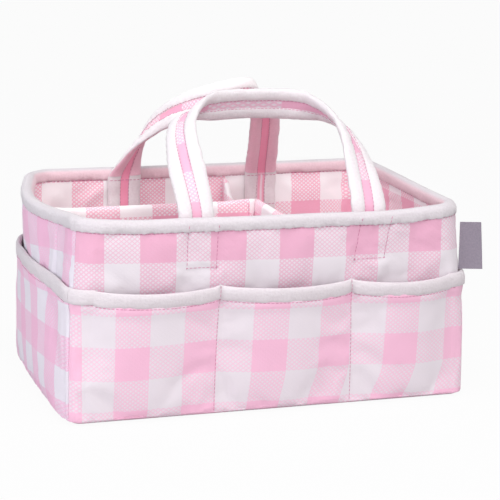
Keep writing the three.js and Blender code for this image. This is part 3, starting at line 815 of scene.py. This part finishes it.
for (side, spot, length), tug, full in zip(ring_places, pucker, swell):
    inset, drop = rim_section.T
    lip = np.clip((-drop - 5) / 4.5, 0, 1)
    belly = np.clip(1 - np.abs(-drop - 5) / 5, 0, 1)
    outer = np.where(inset < -0.5, -1, np.where(inset > 7.8, 1, 0))
    inset = inset + outer * (belly * (0.35 * full + 0.2 * tug) - lip * 0.45 * (0.4 + tug))
    drop = drop + lip * 0.6 * tug * (outer != 0)
    rings.append(on_wall(side, spot, inset, rim_top(side, spot) + drop))
    weave.append(np.stack([np.full(len(rim_profile), length), rim_profile], axis=-1))
rim = tube("rim_binding_tape", np.array(rings), np.array(weave), binding_plush, looped=True)
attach(rim, "caddy_body")
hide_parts("rim_binding")

# Outside pockets
# One cloth per side makes the outside pockets. It is sewn in at the base and the corners, and
# on the long sides through the wall at two seams, which make three pockets. It is a little
# wider than the wall, so each pocket stands open and its cloth creases towards its seams.
pocket_top = 101
pocket_thick = 1.8
mouth_lean = 1.6
pocket_bulge = {"front": 9, "back": 9, "left": 7, "right": 7}
bulge_power = {"front": 0.65, "back": 0.65, "left": 0.1, "right": 0.1}
mouth_draw = {"front": 0, "back": 0, "left": 0.9, "right": 0.5}
pocket_flatness = {"front": 0.8, "back": 0.8, "left": 0.4, "right": 0.4}
mouth_flatness = 0.5
mouth_sag = {"front": 3, "back": 3, "left": 0, "right": 0}
side_sag = {"front": -1, "back": -1, "left": -0.4, "right": -0.4}
pocket_seams = {"front": [-45, 58], "back": [-45, 58], "left": [], "right": []}
mouth_tape = 1.2
mouth_tape_height = 10.5
mouth_room = 9
left_gape = 2.5
left_gape_at = -0.74


def seams_of(side):
    return [along / straight_half(side, pocket_top) for along in pocket_seams[side]]


def openness(side, q, flatness):
    end = straight_half(side, pocket_top)
    seams = np.array([-end, *pocket_seams[side], end])
    along = np.clip(q, -1, 1) * end
    pocket = np.clip(np.searchsorted(seams, along, side="right") - 1, 0, len(seams) - 2)
    share = (along - seams[pocket]) / (seams[pocket + 1] - seams[pocket])
    return np.where(np.abs(q) >= 1, 0, np.maximum(0, np.sin(np.pi * share)) ** flatness)


def pocket_mouth(side, q):
    middle = 1 - np.minimum(1, np.abs(q)) ** 2
    lean = mouth_lean * on_wall(side, q, 0, pocket_top)[..., 0] / (rim_length / 2)
    dip = side_sag[side] * middle + mouth_sag[side] * openness(side, q, mouth_flatness)
    return pocket_top - mouth_tape - lean - dip


def pocket_gap(side, q, z):
    mouth = pocket_mouth(side, q)
    height = np.clip((z - base_top) / (mouth - base_top), 0, 1)
    room = (mouth_tape + 0.3) * smooth((z - mouth + mouth_tape_height + mouth_room) / mouth_room)
    drawn_in = 1 - mouth_draw[side] * height
    full = openness(side, q, pocket_flatness[side]) * height ** bulge_power[side] * drawn_in
    agape = left_gape * np.exp(-((q - left_gape_at) / 0.2) ** 2) * height ** 6 * (side == "left")
    return 0.3 + room + agape + pocket_bulge[side] * full


def front_pocket_weave(along, z, y):
    low_drift = 8 * smooth((34 - z) / 34) * smooth((along + 60) / 120)
    end_drift = 4.5 * smooth((-along - 115) / 25)
    rise = 0.0195 * along + 2.4 * smooth((-along - 60) / 80)
    return (along + low_drift - end_drift + 20.6) / 53.1, (z + rise - 33.6) / 49.5


left_pocket_bands = (-71, -42.3, -20, 1.8, 27.3, 50, 76, 102)
pocket_weave = {
    "front": front_pocket_weave,
    "right": lambda along, z, y: ((along + 5) / repeat, (z - 40) / 50),
    "back": lambda along, z, y: ((along + 12) / repeat, (z - 36) / 50),
    "left": lambda along, z, y: (
        np.interp(y + 0.1 * (60 - z), (-130, *left_pocket_bands), [-0.45, *columns_of_bands(0, 8)]),
        (z + 0.065 * y - 34.5) / 49.5,
    ),
}
pocket_cotton = check_cloth("pocket_check_cotton", (0.87, 0.49, 0.65), (0.77, 0.70, 0.75))

for side in sides:
    seams = seams_of(side)
    q = sewn_columns(side, per_side(side, 96, 62), 6, seams)
    mouth = pocket_mouth(side, q)
    low_rows = np.linspace(base_top, base_edge, 4)
    share = np.linspace(0, 1, 34)[1:, None]
    z = np.concatenate([np.repeat(low_rows[:, None], len(q), 1), mix(base_edge, mouth[None, :], share)])
    across = np.broadcast_to(q, z.shape)
    gap = pocket_gap(side, across, z)
    skin = on_wall(side, across, -gap - pocket_thick, z)
    inner = on_wall(side, across, -gap, z)
    along = girths(on_wall(side, across, 0, z), q)
    held = (z > mouth[None, :] - 7) | (z < 4) | (np.abs(across) > 1.9)
    for seam in seams:
        held |= np.abs(across - seam) < 0.6 / 60
    ripple = 0.3 * waves(51 + len(side), along / 80, z / 80)
    rippled = skin + outward(skin) * (ripple * ~held)[..., None]
    shaped = settle(rippled, held, push=0.5, slack=0.014, most_out=2.0, most_in=2.0)
    for seam in seams:
        start, end = [
            on_wall(side, seam, -pocket_gap(side, np.array(seam), np.array(high)) - pocket_thick, high)
            for high in (4, 97)
        ]
        shaped = fold(shaped, start, end, width=1.4, height=-0.9, taper=0)
    rise = ((shaped - skin) * outward(skin)).sum(-1, keepdims=True)
    inner = inner + outward(skin) * np.maximum(rise, -np.minimum(gap - 0.3, 3)[..., None])
    weave = np.stack(pocket_weave[side](along, z, shaped[..., 1]), -1)
    # The left pocket wears the copy with the side's painted lavender shade.
    cotton = painted_shade_cotton if side == "left" else pocket_cotton
    cloth = two_sided(f"{side}_pocket_cloth", shaped, inner, weave, cotton)
    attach(cloth, "caddy_body")
    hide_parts(f"{side}_pocket")

# Pocket bindings
# A narrower tape of the same white plush is folded over the mouth of each pocket cloth and sewn
# through. The pocket seams cross it, and it dips a little between them.
mouth_section = np.array([
    (-0.3, -9.0), (-0.3, 0.3), (2.1, 0.3), (2.1, -9.0), (2.5, -9.7), (3.1, -9.2),
    (3.4, -7.4), (3.5, -4.8), (3.3, -2.4), (2.7, -0.4), (1.8, 0.8), (0.9, 1.2),
    (0.0, 0.9), (-0.8, 0.0), (-1.2, -1.6), (-1.3, -5.0), (-1.1, -9.0), (-0.7, -9.6),
])
mouth_profile = run_along(mouth_section)
for number, side in enumerate(sides):
    seams = seams_of(side)
    q = sewn_columns(side, per_side(side, 230, 150), 8, seams)
    length = girth(side, q, 0)
    tug = waves(61 + number, length / 24) * 0.5 + waves(71 + number, length / 8) * 0.7
    full = waves(81 + number, length / 60)
    rings, weave = [], []
    for spot, reach, pull, soft in zip(q, length, tug, full):
        out, drop = mouth_section.T
        lip = np.clip((-drop - 4.5) / 5, 0, 1)
        front = out > 2.2
        pinch = max([math.exp(-((spot - seam) * 136 / 1.6) ** 2) for seam in seams] or [0])
        puff = (0.3 * soft + 0.2 * pull) * (1 - lip) - 0.35 * lip * (0.3 + pull) - 0.8 * pinch * (out > 2.4)
        out = out + np.where(front, puff, 0)
        drop = drop + np.where(front, lip * 0.55 * pull, 0)
        mouth = pocket_mouth(side, spot)
        gap = pocket_gap(side, spot, np.minimum(mouth + drop, mouth))
        rings.append(on_wall(side, spot, -gap - out, mouth + drop))
        weave.append(np.stack([np.full(len(mouth_profile), reach + 400 * number), mouth_profile], axis=-1))
    tape = tube(f"{side}_pocket_tape", np.array(rings), np.array(weave), pocket_plush, looped=False)
    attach(tape, "caddy_body")
    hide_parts(f"{side}_pocket_binding")

# Strap handles
# Each handle is a strip of checked cotton with a rolled edge of white plush sewn on either side.
# Its two ends are sewn flat inside the wall. Above the rim it leans in over the box and turns
# over along its length, so the face that looks out at the legs looks down at the top.
handles = {
    "front": dict(
        leg_x=(-60, 76), legs=((-3, 47, 62), (-3, 47, 62)), top=(8, -6.4, 221.3), slope=0, pull=(71, 71),
        twist_top=-70, twist=((0, 0.84, 1.4), (0, 0.76, 1.4)), phase=29.5, seed=91,
    ),
    "back": dict(
        leg_x=(-68, 52), legs=((15.9, 5.3, 58), (12.5, 43.9, 45)), top=(4.4, 14.5, 226.1), slope=0.22,
        pull=(42.2, 33.7), twist_top=-72, twist=((0.01, 0.95, 0.58), (0.55, 0.88, 0.53)), phase=2, seed=191,
    ),
}
roll_section = np.array([
    (3.2, 0.9), (3.6, 2.0), (4.8, 2.65), (7.0, 3.0), (9.4, 2.95), (11.6, 2.5),
    (13.2, 1.5), (13.9, 0.4), (13.9, -0.4), (13.2, -1.5),
    (11.6, -2.5), (9.4, -2.95), (7.0, -3.0), (4.8, -2.65), (3.6, -2.0), (3.2, -0.9),
])
strip_section = np.array([
    (-5.2, 1.0), (-3.4, 1.55), (-1.4, 1.75), (1.4, 1.75), (3.4, 1.55), (5.2, 1.0),
    (5.2, -1.0), (3.4, -1.55), (1.4, -1.75), (-1.4, -1.75), (-3.4, -1.55), (-5.2, -1.0),
])
rim_proud = 1.6
half_strap = 2.5
strap_clear = 0.6
hinge_lift = 0.4
back_leaves_at = 149
sewn_length = 31
end_rings = 22
arch_rings = 64
shaded_face = 100
strap_lines = {}
roll_start = 900
# The back handle's plush is painted lighter than the front one's, to light it in the shade where it stands,
# and its inner face above the rim gets a painted pink reflection of the lining.
plush_of = {
    "front": plush_cloth("white_plush", (0.80, 0.77, 0.785)),
    "back": plush_cloth(
        "painted_pink_light_plush", (0.94, 0.91, 0.91),
        painted_bounce=(1.06, 0.72, 0.82), start=roll_start + shaded_face, end=roll_start + 100 + shaded_face),
}
# The back strap wears a lighter and pinker copy of the check: painted light and pink reflection for the
# strap's shaded inner face.
strap_cotton = {
    "front": check_cotton,
    "back": check_cloth("painted_light_strap_cotton", (1.0, 0.38, 0.54), (0.97, 0.84, 0.88)),
}


def bezier(a, b, c, d, t):
    """Points on a curve from a to d that leaves towards b and comes in from c, and its direction."""
    t = t[:, None]
    points = a * (1 - t) ** 3 + 3 * b * t * (1 - t) ** 2 + 3 * c * t * t * (1 - t) + d * t ** 3
    way = 3 * (b - a) * (1 - t) ** 2 + 6 * (c - b) * t * (1 - t) + 3 * (d - c) * t * t
    return points, way


def unit(v):
    return v / np.maximum(np.linalg.norm(v, axis=-1, keepdims=True), 1e-9)


def half_arch(shape, number, facing, hinge_y, leave_z):
    """One half of a strap, from its leg to its crown: its line, and which way its face and edge look."""
    sign = (1, -1)[number]
    start, end, power = shape["twist"][number]
    spread, reach, rise = shape["legs"][number]
    foot_at = np.array([shape["leg_x"][number] * sign, hinge_y, leave_z])
    crown = np.array(shape["top"]) * (sign, 1, 1)
    slope = np.array([math.cos(shape["slope"]), 0, sign * math.sin(shape["slope"])])
    t = np.linspace(0, 1, arch_rings)
    middle, way = bezier(
        foot_at, foot_at + (spread, -facing * reach, rise), crown - shape["pull"][number] * slope, crown, t)
    way[:, 0] *= smooth(t / 0.2)
    way = unit(way)
    front = np.array([0.0, facing, 0.0])
    face = unit(front - (way @ front)[:, None] * way)
    beside = np.cross(face, way) * -facing
    turned = np.clip((t - start) / (end - start), 0, 1) ** power
    angle = np.radians(mix(90, shape["twist_top"], turned))[:, None]
    out = beside * np.cos(angle) + face * np.sin(angle)
    return [part * (sign, 1, 1) for part in (middle, out, beside * np.sin(angle) - face * np.cos(angle))]


for side, shape in handles.items():
    facing = -1 if side == "front" else 1
    leg_x = shape["leg_x"]
    leg_q = [-facing * x / straight_half(side, rim_height) for x in leg_x]
    leg_top = [float(rim_top(side, spot)) for spot in leg_q]
    over_rim = wall_thick + rim_proud + strap_clear + half_strap
    leg_y = [abs(float(on_wall(side, spot, over_rim, high)[1])) for spot, high in zip(leg_q, leg_top)]
    hinge_y = facing * min(leg_y)
    hinge_z = max(leg_top) + half_strap + hinge_lift
    leave_z = hinge_z if side == "front" else back_leaves_at
    halves = [half_arch(shape, number, facing, hinge_y, leave_z) for number in (0, 1)]
    arch = [np.concatenate([part, other[-2::-1]]) for part, other in zip(*halves)]
    ends = []
    for spot, high, x in zip(leg_q, leg_top, leg_x):
        z = np.linspace(high - binding_height - sewn_length, leave_z - 1.5, end_rings)
        step = (rim_proud + 0.3) * smooth((z - (high - binding_height - 6)) / 5)
        at_height = spot * straight_half(side, rim_height) / straight_half(side, z)
        down = on_wall(side, at_height, wall_thick + 0.5 + step + 2.2, z)
        down[:, 0] = x
        down[:, 1] = mix(down[:, 1], hinge_y, smooth((z - (leave_z - 16)) / 14))
        ends.append(down)
    flat_out = np.repeat([[0.0, facing, 0.0]], end_rings, 0)
    flat_across = np.repeat([[-1.0, 0, 0]], end_rings, 0)
    line = np.concatenate([ends[0], arch[0], ends[1][::-1]])
    off_face = np.concatenate([flat_out, arch[1], flat_out])
    off_edge = np.concatenate([flat_across, arch[2], -flat_across])
    for _ in range(6):
        for part in (line, off_face, off_edge):
            part[1:-1] = 0.25 * part[:-2] + 0.5 * part[1:-1] + 0.25 * part[2:]
    off_face, off_edge = unit(off_face), unit(off_edge)
    length = run_along(line)
    whole = length[-1]
    lift = np.clip((line[:, 2] - hinge_z) / 40, 0, 1)
    narrowing = 1 - 0.07 * smooth((line[:, 2] - hinge_z - 20) / 30)
    seed = shape["seed"]
    crimp = (waves(seed, length / 12) * 0.6 + waves(seed + 3, length / 6) * 0.8) * lift

    def under_row(s):
        """The weave's row on the strip's other face, which shows under the arch."""
        if side == "back":
            return np.interp(s, [whole - 36, whole - 33], [0.25, 0.75])
        band_ends = [whole / 2 - 64, whole / 2 - 38, whole / 2 + 26, whole / 2 + 52]
        return np.interp(s, band_ends, [0, band_share, 1, 1.5])

    def strip_weave(a, b, s, z):
        return np.stack([0.25 + a / repeat, np.where(b > 0, (s + shape["phase"]) / repeat, under_row(s))], -1)

    def roll_weave(a, b, s, z):
        # Moves the inner face above where the strap leaves the wall into the band that the back handle's
        # plush paints with a pink reflection.
        under = (np.arange(len(a)) > 7) & (z > leave_z)
        return np.stack([np.full(len(a), s), roll_start + np.arange(len(a)) * 1.9 + shaded_face * under], -1)

    def sweep(name, section, material, number, weave_of):
        rings, weave = [], []
        for i, centre in enumerate(line):
            a, b = section[:, 0] * narrowing[i], section[:, 1]
            near_strip = np.exp(-((np.abs(a) - 4.5) / 2.2) ** 2)
            b = b * (1 + 0.10 * waves(seed + number, length[i] / 34) - 0.3 * near_strip * crimp[i])
            a = a + np.sign(a) * 0.5 * (np.abs(a) > 11) * waves(seed + number + 7, length[i] / 22)
            rings.append(centre + np.outer(a, off_edge[i]) + np.outer(b, off_face[i]))
            weave.append(weave_of(a, b, length[i], centre[2]))
        return tube(name, np.array(rings), np.array(weave), material, looped=False)

    body = f"{side}_handle"
    strip = sweep(f"{body}_strip", strip_section, strap_cotton[side], 0, strip_weave)
    outer = sweep(f"{body}_outer_roll", roll_section, plush_of[side], 1, roll_weave)
    inner = sweep(f"{body}_inner_roll", roll_section * (-1, 1), plush_of[side], 2, roll_weave)
    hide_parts(f"{body}_strap", f"{body}_left_end", f"{body}_right_end")
    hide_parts(f"{body}_outer_binding")
    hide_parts(f"{body}_inner_binding")
    bend_y, bend_z = hinge_y / 1000, hinge_z / 1000
    bend = dict(start=(0, bend_y, bend_z - 0.009), end=(0, bend_y, bend_z + 0.007))
    for piece in (strip, outer, inner):
        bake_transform(piece)
    strap_lines[side] = (line, off_face, off_edge, bend)

# Divider insert
# Two padded panels of the checked cotton, a long one sewn to a cross one, make the insert that
# lifts out. Each is a thin wadded bag turned right side out, with soft round edges.
divider_height = 143
divider_thick = 6
divider_crown = 3
long_y = 2
cross_x = 20
clearance = 0.9
most_swell = 1.0


def clear_half(side, along, z):
    at_wall = on_wall(side, along / straight_half(side, z), wall_thick + clearance, z)
    rim_z = rim_top(side, along / straight_half(side, z)) - binding_height / 2
    at_rim = on_wall(side, along / straight_half(side, z), wall_thick + rim_proud + 0.3 + clearance, rim_z)
    axis = per_side(side, 1, 0)
    return np.minimum(np.abs(at_wall[..., axis]), np.abs(at_rim[..., axis]))


def pad(name, ends_at, to_frame, weave_of):
    """A thin wadded bag that stands on edge, swollen by simulation between its seams."""
    low = floor_top + 1.0
    shoulder = divider_height - divider_crown
    round_top = np.linspace(0.25, math.pi / 2, 5)
    z = np.concatenate([np.linspace(low, shoulder, 34), shoulder + divider_crown * np.sin(round_top)])
    half = np.concatenate([np.full(34, 1.0), np.cos(round_top)])
    loop_z = np.concatenate([z, z[-2::-1]])
    loop_side = np.concatenate([half, -half[-2::-1]]) * (divider_thick / 2 - 0.4)
    start, stop = ends_at(loop_z)
    share = np.concatenate([[0, 0.006, 0.018], np.linspace(0.035, 0.965, 44), [0.982, 0.994, 1]])
    round_end = np.concatenate([[0.02, 0.55, 0.87], np.ones(44), [0.87, 0.55, 0.02]])
    rings = np.array([to_frame(mix(start, stop, s), loop_side * r, loop_z) for s, r in zip(share, round_end)])
    count, size = rings.shape[:2]
    points = rings.reshape(-1, 3)
    # The pads wear the lining cotton, with its painted light from inside the box.
    piece = tube(name, rings, np.zeros((len(points), 2)), lining_cotton, looped=False, sharp=80)
    sewn = [i for i in range(len(points)) if i // size < 3 or i // size >= count - 3]
    sewn += [i for i in range(len(points)) if points[i, 2] < low + 3]
    moved = pressed(
        piece, sewn, 20, quality=5, mass=0.05, tension_stiffness=15, bending_stiffness=0.5,
        uniform_pressure_force=4, shrink_min=-0.01,
    )
    shift = np.nan_to_num(moved - points)
    far = np.linalg.norm(shift, axis=1, keepdims=True)
    points = points + shift / np.maximum(far, 1e-9) * most_swell * np.tanh(far / most_swell)
    piece.data.vertices.foreach_set("co", (points * 0.001).astype(np.float32).ravel())
    lay_weave(piece.data, np.stack(weave_of(points), axis=-1))
    piece.data.update()
    return piece


def cross_top(y, z):
    """The cross divider's top dips between the strap and the middle."""
    return z - 13 * smooth((y - 6) / 22) * smooth((92 - y) / 14) * smooth((z - 100) / 40)


long_divider = pad(
    "long_divider_pad",
    lambda z: (-clear_half("left", -long_y, z), np.full(len(z), cross_x - 3.0)),
    lambda x, y, z: np.stack([x, long_y + y, z], -1),
    lambda p: ((p[:, 0] + 122) / 53.4, (p[:, 2] + (p[:, 1] - long_y) - 103) / 52),
)
cross_divider = pad(
    "cross_divider_pad",
    lambda z: (-clear_half("front", cross_x, z), clear_half("back", -cross_x, z)),
    lambda y, x, z: np.stack([cross_x + x, y, cross_top(y, z)], -1),
    lambda p: ((p[:, 1] + 70) / repeat, (p[:, 2] + (p[:, 0] - cross_x) - 103) / 52),
)
for divider, cad_node in ((long_divider, "long_divider"), (cross_divider, "cross_divider")):
    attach(divider, "divider_insert")
    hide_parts(cad_node)

# Side label
# A short grey woven tape, folded double and caught in the front right corner seam. It is plain
# and stands straight out from the seam, a little narrower at its fold.
label_length = 19
label_height = 37
label_bottom = 100.2
label_taper = 2.5 / 19
label_turn = math.radians(20)
fold_width = 0.7
grey_tape, tape_tree, tape_shader = finish("grey_woven_tape", specular=0.3, sheen=0.15)
tape_spot, tape_u, tape_v = weave_place(tape_tree)
tape_rib = sum_of(tape_tree, "SINE", sum_of(tape_tree, "MULTIPLY", tape_v, 9))
tape_warp = sum_of(tape_tree, "SINE", sum_of(tape_tree, "MULTIPLY", tape_u, 14))
tape_web = sum_of(tape_tree, "MULTIPLY", tape_rib, tape_warp)
tape_noise = noise(tape_tree, tape_spot, scale=0.6)
tape_share = sum_of(tape_tree, "MULTIPLY_ADD", tape_web, 0.18, tape_noise, clamp=True)
tape_grey = colour_mix(tape_tree, tape_share, (0.22, 0.185, 0.235), (0.33, 0.285, 0.345))
tape_tree.links.new(tape_grey, tape_shader.inputs["Base Color"])
tape_rough = sum_of(tape_tree, "MULTIPLY_ADD", tape_noise, 0.15, 0.6)
tape_tree.links.new(tape_rough, tape_shader.inputs["Roughness"])
raise_by(tape_tree, tape_shader, tape_web, strength=0.3, depth=0.0002)

root = on_wall("front", seam_at["front"], -0.3, label_bottom)
reach = np.linspace(0, label_length - fold_width, 10)
fold_turn = np.linspace(-1.3, 1.3, 7)
rises = np.linspace(0, label_height, 14)
faces_of_tape = []
for half_gap in (0.65, 0.2):
    path_out = np.concatenate([reach, label_length - fold_width + half_gap * np.cos(fold_turn), reach[::-1]])
    path_side = np.concatenate([np.full(10, -half_gap), half_gap * np.sin(fold_turn), np.full(10, half_gap)])
    path_side = path_side + 0.9 * (path_out / label_length) ** 2
    grid = []
    for rise in rises:
        up = rise / label_height
        away = path_out * (1 - label_taper * up) - 0.2 * abs(up - 0.5)
        aside = path_side + 0.5 * math.sin(up * math.pi) * (path_out / label_length)
        x = root[0] + away * math.cos(label_turn) + aside * math.sin(label_turn)
        y = root[1] - away * math.sin(label_turn) + aside * math.cos(label_turn)
        grid.append(np.stack([x, y, np.full(len(x), label_bottom + rise)], -1))
    faces_of_tape.append(np.array(grid))
walk = np.concatenate([reach, label_length + 0.3 * (fold_turn + 1.3), label_length + 1 + reach])
weave = np.array([np.stack([walk, np.full(len(walk), rise)], -1) for rise in rises])
label = two_sided("side_label_tape", faces_of_tape[0], faces_of_tape[1], weave, grey_tape, 70)
tidy_normals(label.data)
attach(label, "caddy_body")
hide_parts("side_label")

# Stitching
# Everything is sewn with one lockstitch, coloured a dark crimson: the thread, deepened with painted
# shadow so that its rows also stand in for the thin shadow lines at the seams. It runs under the
# edges of the bindings, down the pocket seams, in a box round each strap end, beside both rolls of
# the straps and at the ends of the divider's long panel. Each stitch is about 2.9 mm long and lies in the
# cloth.
stitch_pitch = 3.1
stitch_length = 2.9
thread_width = 0.52
binding_row = 10.1

thread_with_painted_shadow, thread_tree, thread_shader = finish("thread_with_painted_shadow", specular=0.35, sheen=0.2)
thread_place = node(thread_tree, "ShaderNodeTexCoord").outputs["Object"]
thread_ply = noise(thread_tree, thread_place, scale=1400)
# Dark crimson: the thread's colour deepened with painted shadow, so that the rows also stand in for the thin
# shadow lines at the seams.
thread_rose = colour_mix(thread_tree, thread_ply, (0.50, 0.14, 0.28), (0.70, 0.30, 0.44))
thread_tree.links.new(thread_rose, thread_shader.inputs["Base Color"])
thread_rough = sum_of(thread_tree, "MULTIPLY_ADD", thread_ply, 0.2, 0.45)
thread_tree.links.new(thread_rough, thread_shader.inputs["Roughness"])
raise_by(thread_tree, thread_shader, thread_ply, strength=0.4, depth=0.0001)

stitch_row = bpy.data.node_groups.new("row_of_stitches", "GeometryNodeTree")
stitch_settings = {}
for setting, kind, value in (
    ("Seam", "NodeSocketGeometry", None),
    ("Pitch", "NodeSocketFloat", stitch_pitch / 1000),
    ("Stitch length", "NodeSocketFloat", stitch_length / 1000),
    ("Thread width", "NodeSocketFloat", thread_width / 1000),
    ("Seed", "NodeSocketInt", 5),
    ("Thread", "NodeSocketMaterial", thread_with_painted_shadow),
):
    socket = stitch_row.interface.new_socket(setting, in_out="INPUT", socket_type=kind)
    if value is not None:
        stitch_settings[socket.identifier] = value
stitch_row.interface.new_socket("Stitches", in_out="OUTPUT", socket_type="NodeSocketGeometry")
row_in = node(stitch_row, "NodeGroupInput")
row_out = node(stitch_row, "NodeGroupOutput")
as_curve = node(stitch_row, "GeometryNodeMeshToCurve")
evenly = node(stitch_row, "GeometryNodeResampleCurve", mode="LENGTH")
along_seam = node(stitch_row, "GeometryNodeInputTangent")
lying = node(stitch_row, "FunctionNodeAlignRotationToVector", axis="X")
one_stitch = node(stitch_row, "GeometryNodeMeshUVSphere")
one_stitch.inputs["Segments"].default_value = 6
one_stitch.inputs["Rings"].default_value = 5
one_stitch.inputs["Radius"].default_value = 0.5
uneven = node(stitch_row, "FunctionNodeRandomValue", data_type="FLOAT")
uneven.inputs[2].default_value = 0.86
uneven.inputs[3].default_value = 1.08
cut = node(stitch_row, "ShaderNodeMath", operation="MULTIPLY")
measure = node(stitch_row, "ShaderNodeCombineXYZ")
laid = node(stitch_row, "GeometryNodeInstanceOnPoints")
real = node(stitch_row, "GeometryNodeRealizeInstances")
smoothed = node(stitch_row, "GeometryNodeSetShadeSmooth")
threaded = node(stitch_row, "GeometryNodeSetMaterial")
for source, target in (
    (row_in.outputs["Seam"], as_curve.inputs["Mesh"]),
    (as_curve.outputs["Curve"], evenly.inputs["Curve"]),
    (row_in.outputs["Pitch"], evenly.inputs["Length"]),
    (evenly.outputs["Curve"], laid.inputs["Points"]),
    (one_stitch.outputs["Mesh"], laid.inputs["Instance"]),
    (along_seam.outputs["Tangent"], lying.inputs["Vector"]),
    (lying.outputs["Rotation"], laid.inputs["Rotation"]),
    (row_in.outputs["Seed"], uneven.inputs["Seed"]),
    (row_in.outputs["Stitch length"], cut.inputs[0]),
    (uneven.outputs[1], cut.inputs[1]),
    (cut.outputs[0], measure.inputs["X"]),
    (row_in.outputs["Thread width"], measure.inputs["Y"]),
    (row_in.outputs["Thread width"], measure.inputs["Z"]),
    (measure.outputs["Vector"], laid.inputs["Scale"]),
    (laid.outputs["Instances"], smoothed.inputs["Geometry"]),
    (smoothed.outputs["Geometry"], real.inputs["Geometry"]),
    (real.outputs["Geometry"], threaded.inputs["Geometry"]),
    (row_in.outputs["Thread"], threaded.inputs["Material"]),
    (threaded.outputs["Geometry"], row_out.inputs["Stitches"]),
):
    stitch_row.links.new(source, target)


def skin_of(*names):
    """The outside of finished pieces, for laying seams on."""
    corners, faces = [], []
    for name in names:
        mesh = bpy.data.objects[name].data
        faces += [tuple(i + len(corners) for i in polygon.vertices) for polygon in mesh.polygons]
        corners += [vertex.co.copy() for vertex in mesh.vertices]
    return BVHTree.FromPolygons(corners, faces)


def lay(skin, points, aim, back_off=9.0):
    """Drops points onto pieces along a direction each, from a little way off, in millimetres."""
    points = np.asarray(points, float)
    aim = unit(np.broadcast_to(np.asarray(aim, float), points.shape))
    laid_points = []
    for point, way in zip(points, aim):
        hit = skin.ray_cast(Vector((point - way * back_off) / 1000), Vector(way), 0.03)[0]
        if hit is not None:
            laid_points.append(np.array(hit) * 1000 - way * 0.12)
    return np.array(laid_points)


def sew(name, rows):
    """Turns rows of points into stitches, as one plain mesh."""
    edges, first = [], 0
    for row in rows:
        edges += [(first + i, first + i + 1) for i in range(len(row) - 1)]
        first += len(row)
    mesh = bpy.data.meshes.new(name + "_seams")
    mesh.from_pydata((np.concatenate(rows) / 1000).tolist(), edges, [])
    guide = bpy.data.objects.new(name + "_seams", mesh)
    scene.collection.objects.link(guide)
    stitcher = guide.modifiers.new("stitches", "NODES")
    stitcher.node_group = stitch_row
    for identifier, value in stitch_settings.items():
        stitcher[identifier] = value
    made = bpy.data.meshes.new_from_object(guide.evaluated_get(bpy.context.evaluated_depsgraph_get()))
    made.name = name
    bpy.data.objects.remove(guide)
    piece = bpy.data.objects.new(name, made)
    scene.collection.objects.link(piece)
    return piece


facing_in = {"front": (0, 1, 0), "back": (0, -1, 0), "left": (1, 0, 0), "right": (-1, 0, 0)}
body_rows = []
for side in sides:
    q = columns_between(side, per_side(side, 120, 80), 12)
    for inset, sign, layer in ((-8, 1, "outer"), (16, -1, "lining")):
        edge = on_wall(side, q, inset, rim_top(side, q) - binding_row)
        toward = (on_wall(side, q, 4, 150) - on_wall(side, q, 0, 150)) * sign
        body_rows.append(lay(skin_of(f"{side}_{layer}_cloth"), edge, toward * (1, 1, 0), 2))
    q = q[10:-10]
    mouth = pocket_mouth(side, q)
    edge = on_wall(side, q, -pocket_gap(side, q, mouth) - 10, mouth - binding_row)
    toward = on_wall(side, q, 4, 90) - on_wall(side, q, 0, 90)
    body_rows.append(lay(skin_of(f"{side}_pocket_cloth"), edge, toward * (1, 1, 0), 2))
    for seam in seams_of(side):
        z = np.linspace(5, float(pocket_mouth(side, seam)) - 1, 40)
        line = on_wall(side, np.full(40, seam), -6, z)
        body_rows.append(lay(skin_of(f"{side}_pocket_cloth", f"{side}_pocket_tape"), line, facing_in[side]))
    for left, right in box_inset.get(side, []):
        for (a0, z0), (a1, z1) in box_sides(side, left, right):
            line = [on_cloth(side, mix(a0, a1, s), mix(z0, z1, s), 4) for s in np.linspace(0, 1, 14)]
            body_rows.append(lay(skin_of(f"{side}_outer_cloth", "rim_binding_tape"), line, facing_in[side]))

for side, (line, off_face, off_edge, bend) in strap_lines.items():
    strap_skin = skin_of(*(f"{side}_handle_{part}" for part in ("strip", "outer_roll", "inner_roll")))
    rows = [
        lay(strap_skin, line + off_edge * edge + off_face * face * 6, -off_face * face, 0)
        for edge in (-3.5, 3.5) for face in (-1, 1)
    ]
    for height in (6, sewn_length + 0.5):
        for at in (line[:end_rings], line[-end_rings:][::-1]):
            spot = [np.interp(at[0, 2] + height, at[:, 2], at[:, axis]) for axis in range(3)]
            row = np.array(spot) + np.outer(np.linspace(-11.5, 11.5, 16), (1, 0, 0))
            body_rows.append(lay(strap_skin, row, np.negative(facing_in[side])))
    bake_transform(sew(f"{side}_handle_stitches", rows))

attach(sew("body_stitches", body_rows), "caddy_body")

divider_skin = skin_of("long_divider_pad")
divider_rows = []
for x in (-136, cross_x - 9):
    for sign in (1, -1):
        z = np.linspace(14, divider_height - 5, 40)
        line = np.stack([np.full(40, x), np.full(40, long_y - 8 * sign), z], -1)
        divider_rows.append(lay(divider_skin, line, (0, sign, 0), 0))
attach(sew("divider_stitches", divider_rows), "divider_insert")
